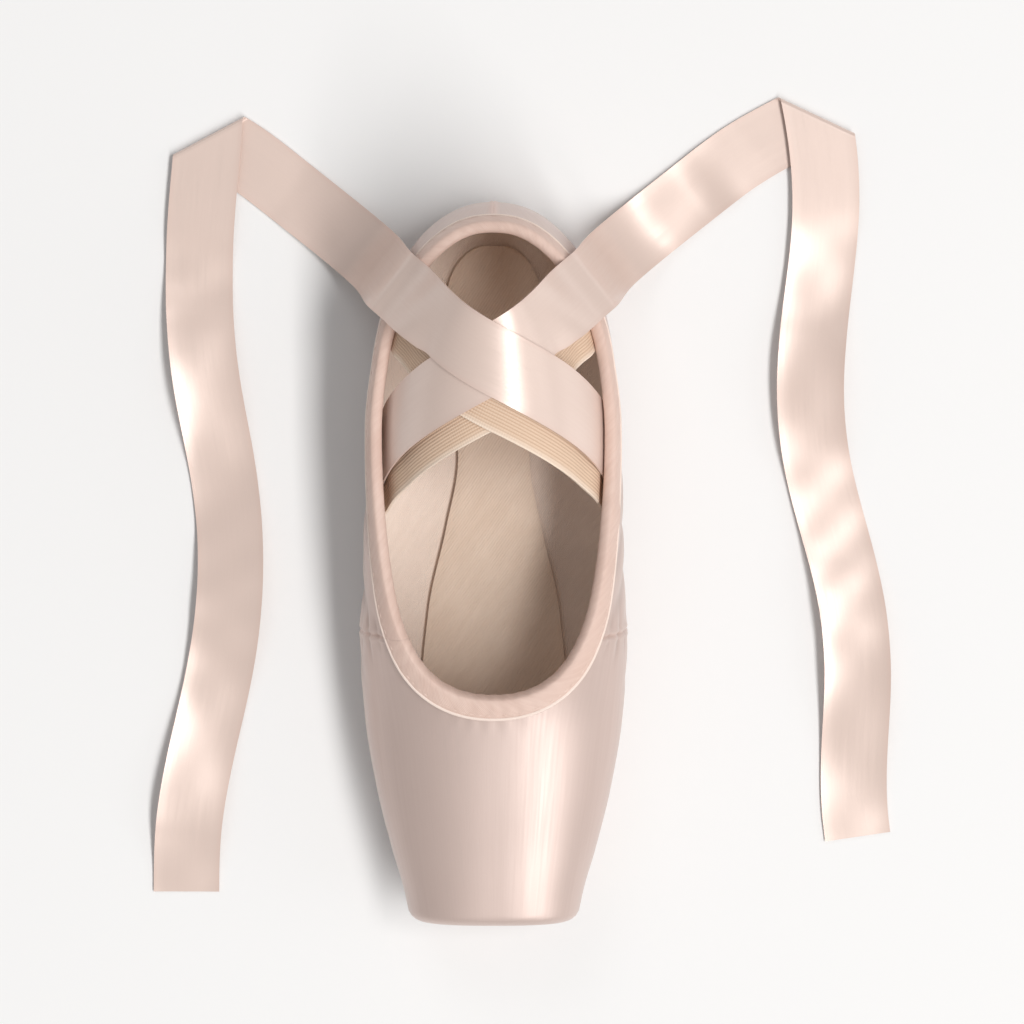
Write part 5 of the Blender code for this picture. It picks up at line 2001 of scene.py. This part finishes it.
@dataclass
class Studio:
    """Pale floor, soft lights and the camera, which looks down on the shoe."""

    centre: tuple[float, float, float] = (-0.055, 0.006, 0.02)
    distance: float = 1.21
    lean: float = 6.0
    lens: float = 130.0
    floor_size: float = 8.0

    def floor(self) -> Object:
        """A plain pale floor."""
        material, w, shader = new_material("floor", Coating(specular=0.1))
        place = w.place()
        cloud = w.noise(place, 3.0, 2.0)
        w.put(shader.inputs["Base Color"], w.mix(cloud, (0.90,) * 3, (0.91,) * 3))
        shader.inputs["Roughness"].default_value = 0.9
        half = self.floor_size / 2
        mesh = bpy.data.meshes.new("floor")
        corners = [(-half, -half, 0), (half, -half, 0), (half, half, 0), (-half, half, 0)]
        mesh.from_pydata(corners, [], [(0, 1, 2, 3)])
        mesh.materials.append(material)
        obj = bpy.data.objects.new("floor", mesh)
        bpy.context.scene.collection.objects.link(obj)
        return obj

    def light(
        self, name: str, place: Place, target: Place, size: tuple[float, float],
        power: float, colour: Colour,
    ) -> None:
        """A soft box.

        Args:
            name: Name of the light.
            place: Where it stands.
            target: The point that it faces.
            size: Its width and height.
            power: Its power in watts.
            colour: Its colour.
        """
        data = bpy.data.lights.new(name, "AREA")
        data.shape = "RECTANGLE"
        data.size, data.size_y = size
        data.energy = power
        data.color = colour
        obj = bpy.data.objects.new(name, data)
        obj.location = place
        aim = Vector(target) - Vector(place)
        obj.rotation_euler = aim.to_track_quat("-Z", "Y").to_euler()
        bpy.context.scene.collection.objects.link(obj)

    def surround(self, strength: float) -> None:
        """An even pale surround."""
        world = bpy.data.worlds.new("studio")
        world.use_nodes = True
        background = world.node_tree.nodes["Background"]
        background.inputs[0].default_value = (1.0, 0.995, 0.99, 1)
        background.inputs[1].default_value = strength
        bpy.context.scene.world = world

    def camera(self) -> None:
        """The camera, with the toe at the bottom of the picture."""
        lean = math.radians(self.lean)
        data = bpy.data.cameras.new("camera")
        data.lens, data.sensor_width = self.lens, 36.0
        data.clip_start, data.clip_end = 0.05, 30.0
        obj = bpy.data.objects.new("camera", data)
        away = np.array((-math.sin(lean), 0.0, math.cos(lean)))
        up = np.array((-math.cos(lean), 0.0, -math.sin(lean)))
        right = np.cross(up, away)
        matrix = np.eye(4)
        matrix[:3, 0], matrix[:3, 1], matrix[:3, 2] = right, up, away
        matrix[:3, 3] = np.array(self.centre) + away * self.distance
        obj.matrix_world = Matrix(matrix.tolist())
        bpy.context.scene.collection.objects.link(obj)
        bpy.context.scene.camera = obj

    def build(self) -> None:
        """Sets up the whole studio."""
        self.camera()
        self.floor()
        self.surround(0.33)
        self.light("key", (1.9, 1.9, 4.2), (1.9, 0.0, 0.0), (6.6, 0.95), 222.0, (1.0, 0.985, 0.97))
        self.light("side", (0.4, 3.4, 1.6), self.centre, (2.0, 1.6), 8.0, (1.0, 0.99, 0.98))
        self.light("rear", (-3.2, -1.0, 2.8), self.centre, (1.8, 1.8), 14.0, (0.985, 0.99, 1.0))
        bpy.context.scene.view_settings.view_transform = "Standard"


# Putting it together


def ride(obj: Object, slot: str, *replaced: str) -> Object:
    """Carries a piece on the shoe and lets it stand for CAD nodes.

    Args:
        obj: The piece.
        slot: The record's material slot. Not used.
        replaced: Names of the nodes that it stands for.

    Returns:
        The piece.
    """
    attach(obj, "root")
    if replaced:
        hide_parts(*replaced)
    obj.data.calc_loop_triangles()
    log.info("%s: %d triangles", obj.name, len(obj.data.loop_triangles))
    return obj


LEFT_RUN = FloorRun(
    fold=0.062, fold_turn=116, bend=9, wave=9, wave_length=0.36, hump=0.17, hump_length=0.15, roll=6
)
RIGHT_RUN = FloorRun(
    fold=0.090, fold_turn=108, bend=7, wave=10, wave_length=0.29, hump=0.20, hump_length=0.18,
    roll=-5,
)


@dataclass
class Straps:
    """The two elastics and the two ribbons, from the inside out."""

    last: Last
    elastic_width: float = 0.019
    elastic_thickness: float = 0.0008
    ribbon_width: float = 0.022
    ribbon_thickness: float = 0.0005
    ribbon_length: float = 0.50
    gap: float = 0.0005
    elastic_places: tuple[float, float] = (0.085, 0.037)
    ribbon_places: tuple[float, float] = (0.074, 0.022)

    def ribbons(self) -> list[Ribbon]:
        """The left ribbon lies on the right one."""
        on_top = self.ribbon_thickness / 2
        layer = self.ribbon_thickness + self.gap
        runs = {
            Side.LEFT: ("ribbon_left", on_top, LEFT_RUN),
            Side.RIGHT: ("ribbon_right", on_top + layer, RIGHT_RUN),
        }
        return [
            Ribbon(
                self.last, name + "_satin", side,
                self.ribbon_width, self.ribbon_thickness, *self.ribbon_places,
                depth, depth, True, run=run, length=self.ribbon_length,
            )
            for side, (name, depth, run) in runs.items()
        ]

    def elastics(self) -> list[Elastic]:
        """The elastics lie under the ribbons."""
        ribbon, elastic = self.ribbon_thickness + self.gap, self.elastic_thickness + self.gap
        half = self.elastic_thickness / 2
        depths = {
            Side.LEFT: ("elastic_left", 2 * ribbon + half, ribbon + half),
            Side.RIGHT: ("elastic_right", 2 * ribbon + half + elastic, ribbon + half + elastic),
        }
        return [
            Elastic(
                self.last, name + "_webbing", side,
                self.elastic_width, self.elastic_thickness, *self.elastic_places,
                layers, sewn, False,
            )
            for side, (name, layers, sewn) in depths.items()
        ]


def build_shoe(finishes: Finishes, effects: Effects) -> None:
    """Builds and dresses every piece of the shoe.

    Args:
        finishes: The shoe's finishes.
        effects: The shared node groups.
    """
    last = Last()
    upper = Upper(last)
    binding = Binding(upper)
    outsole = Outsole(last)
    straps = Straps(last)
    thread = finishes.sewing.material(effects)
    stitching = Stitching()
    satin, lining = finishes.satin.material(effects), finishes.lining.material(effects)
    ride(upper.dress(satin, lining), "satin", "upper")
    ride(binding.dress(finishes.tape.material(effects)), "binding", "binding")
    ride(stitching.sew("binding_stitches", [binding.seam_line()], thread), "binding")
    ride(outsole.dress(finishes.leather.material(effects)), "sole_leather", "outsole")
    ride(outsole.tack_heads(finishes.tack.material(effects)), "sole_leather")
    ride(Insole(last).dress(finishes.sock.material(effects)), "insole", "insole")
    seams: list[Laid] = []
    webbing = finishes.knit.material(effects)
    for elastic in straps.elastics():
        piece, lines = elastic.dress(webbing)
        ride(piece, "elastic", elastic.name.removesuffix("_webbing"))
        flat = (elastic.width, elastic.flat_length())
        seams += lines
    silk = finishes.ribbon.material(effects)
    for ribbon in straps.ribbons():
        piece, lines = ribbon.dress(silk)
        ride(piece, "ribbon", ribbon.name.removesuffix("_satin"))
        flat = (ribbon.width, ribbon.length)
        seams += lines
    ride(stitching.sew("strap_stitches", seams, thread), "elastic")


def main() -> None:
    """Loads the frame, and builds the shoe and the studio."""
    logging.basicConfig(level=logging.INFO, format="%(name)s: %(message)s")
    for obj in list(bpy.data.objects):
        bpy.data.objects.remove(obj, do_unlink=True)
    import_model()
    build_shoe(Finishes(), Effects())
    Studio().build()
    bpy.context.view_layer.update()
    log.info("boxes written")


if __name__ == "__main__":
    main()
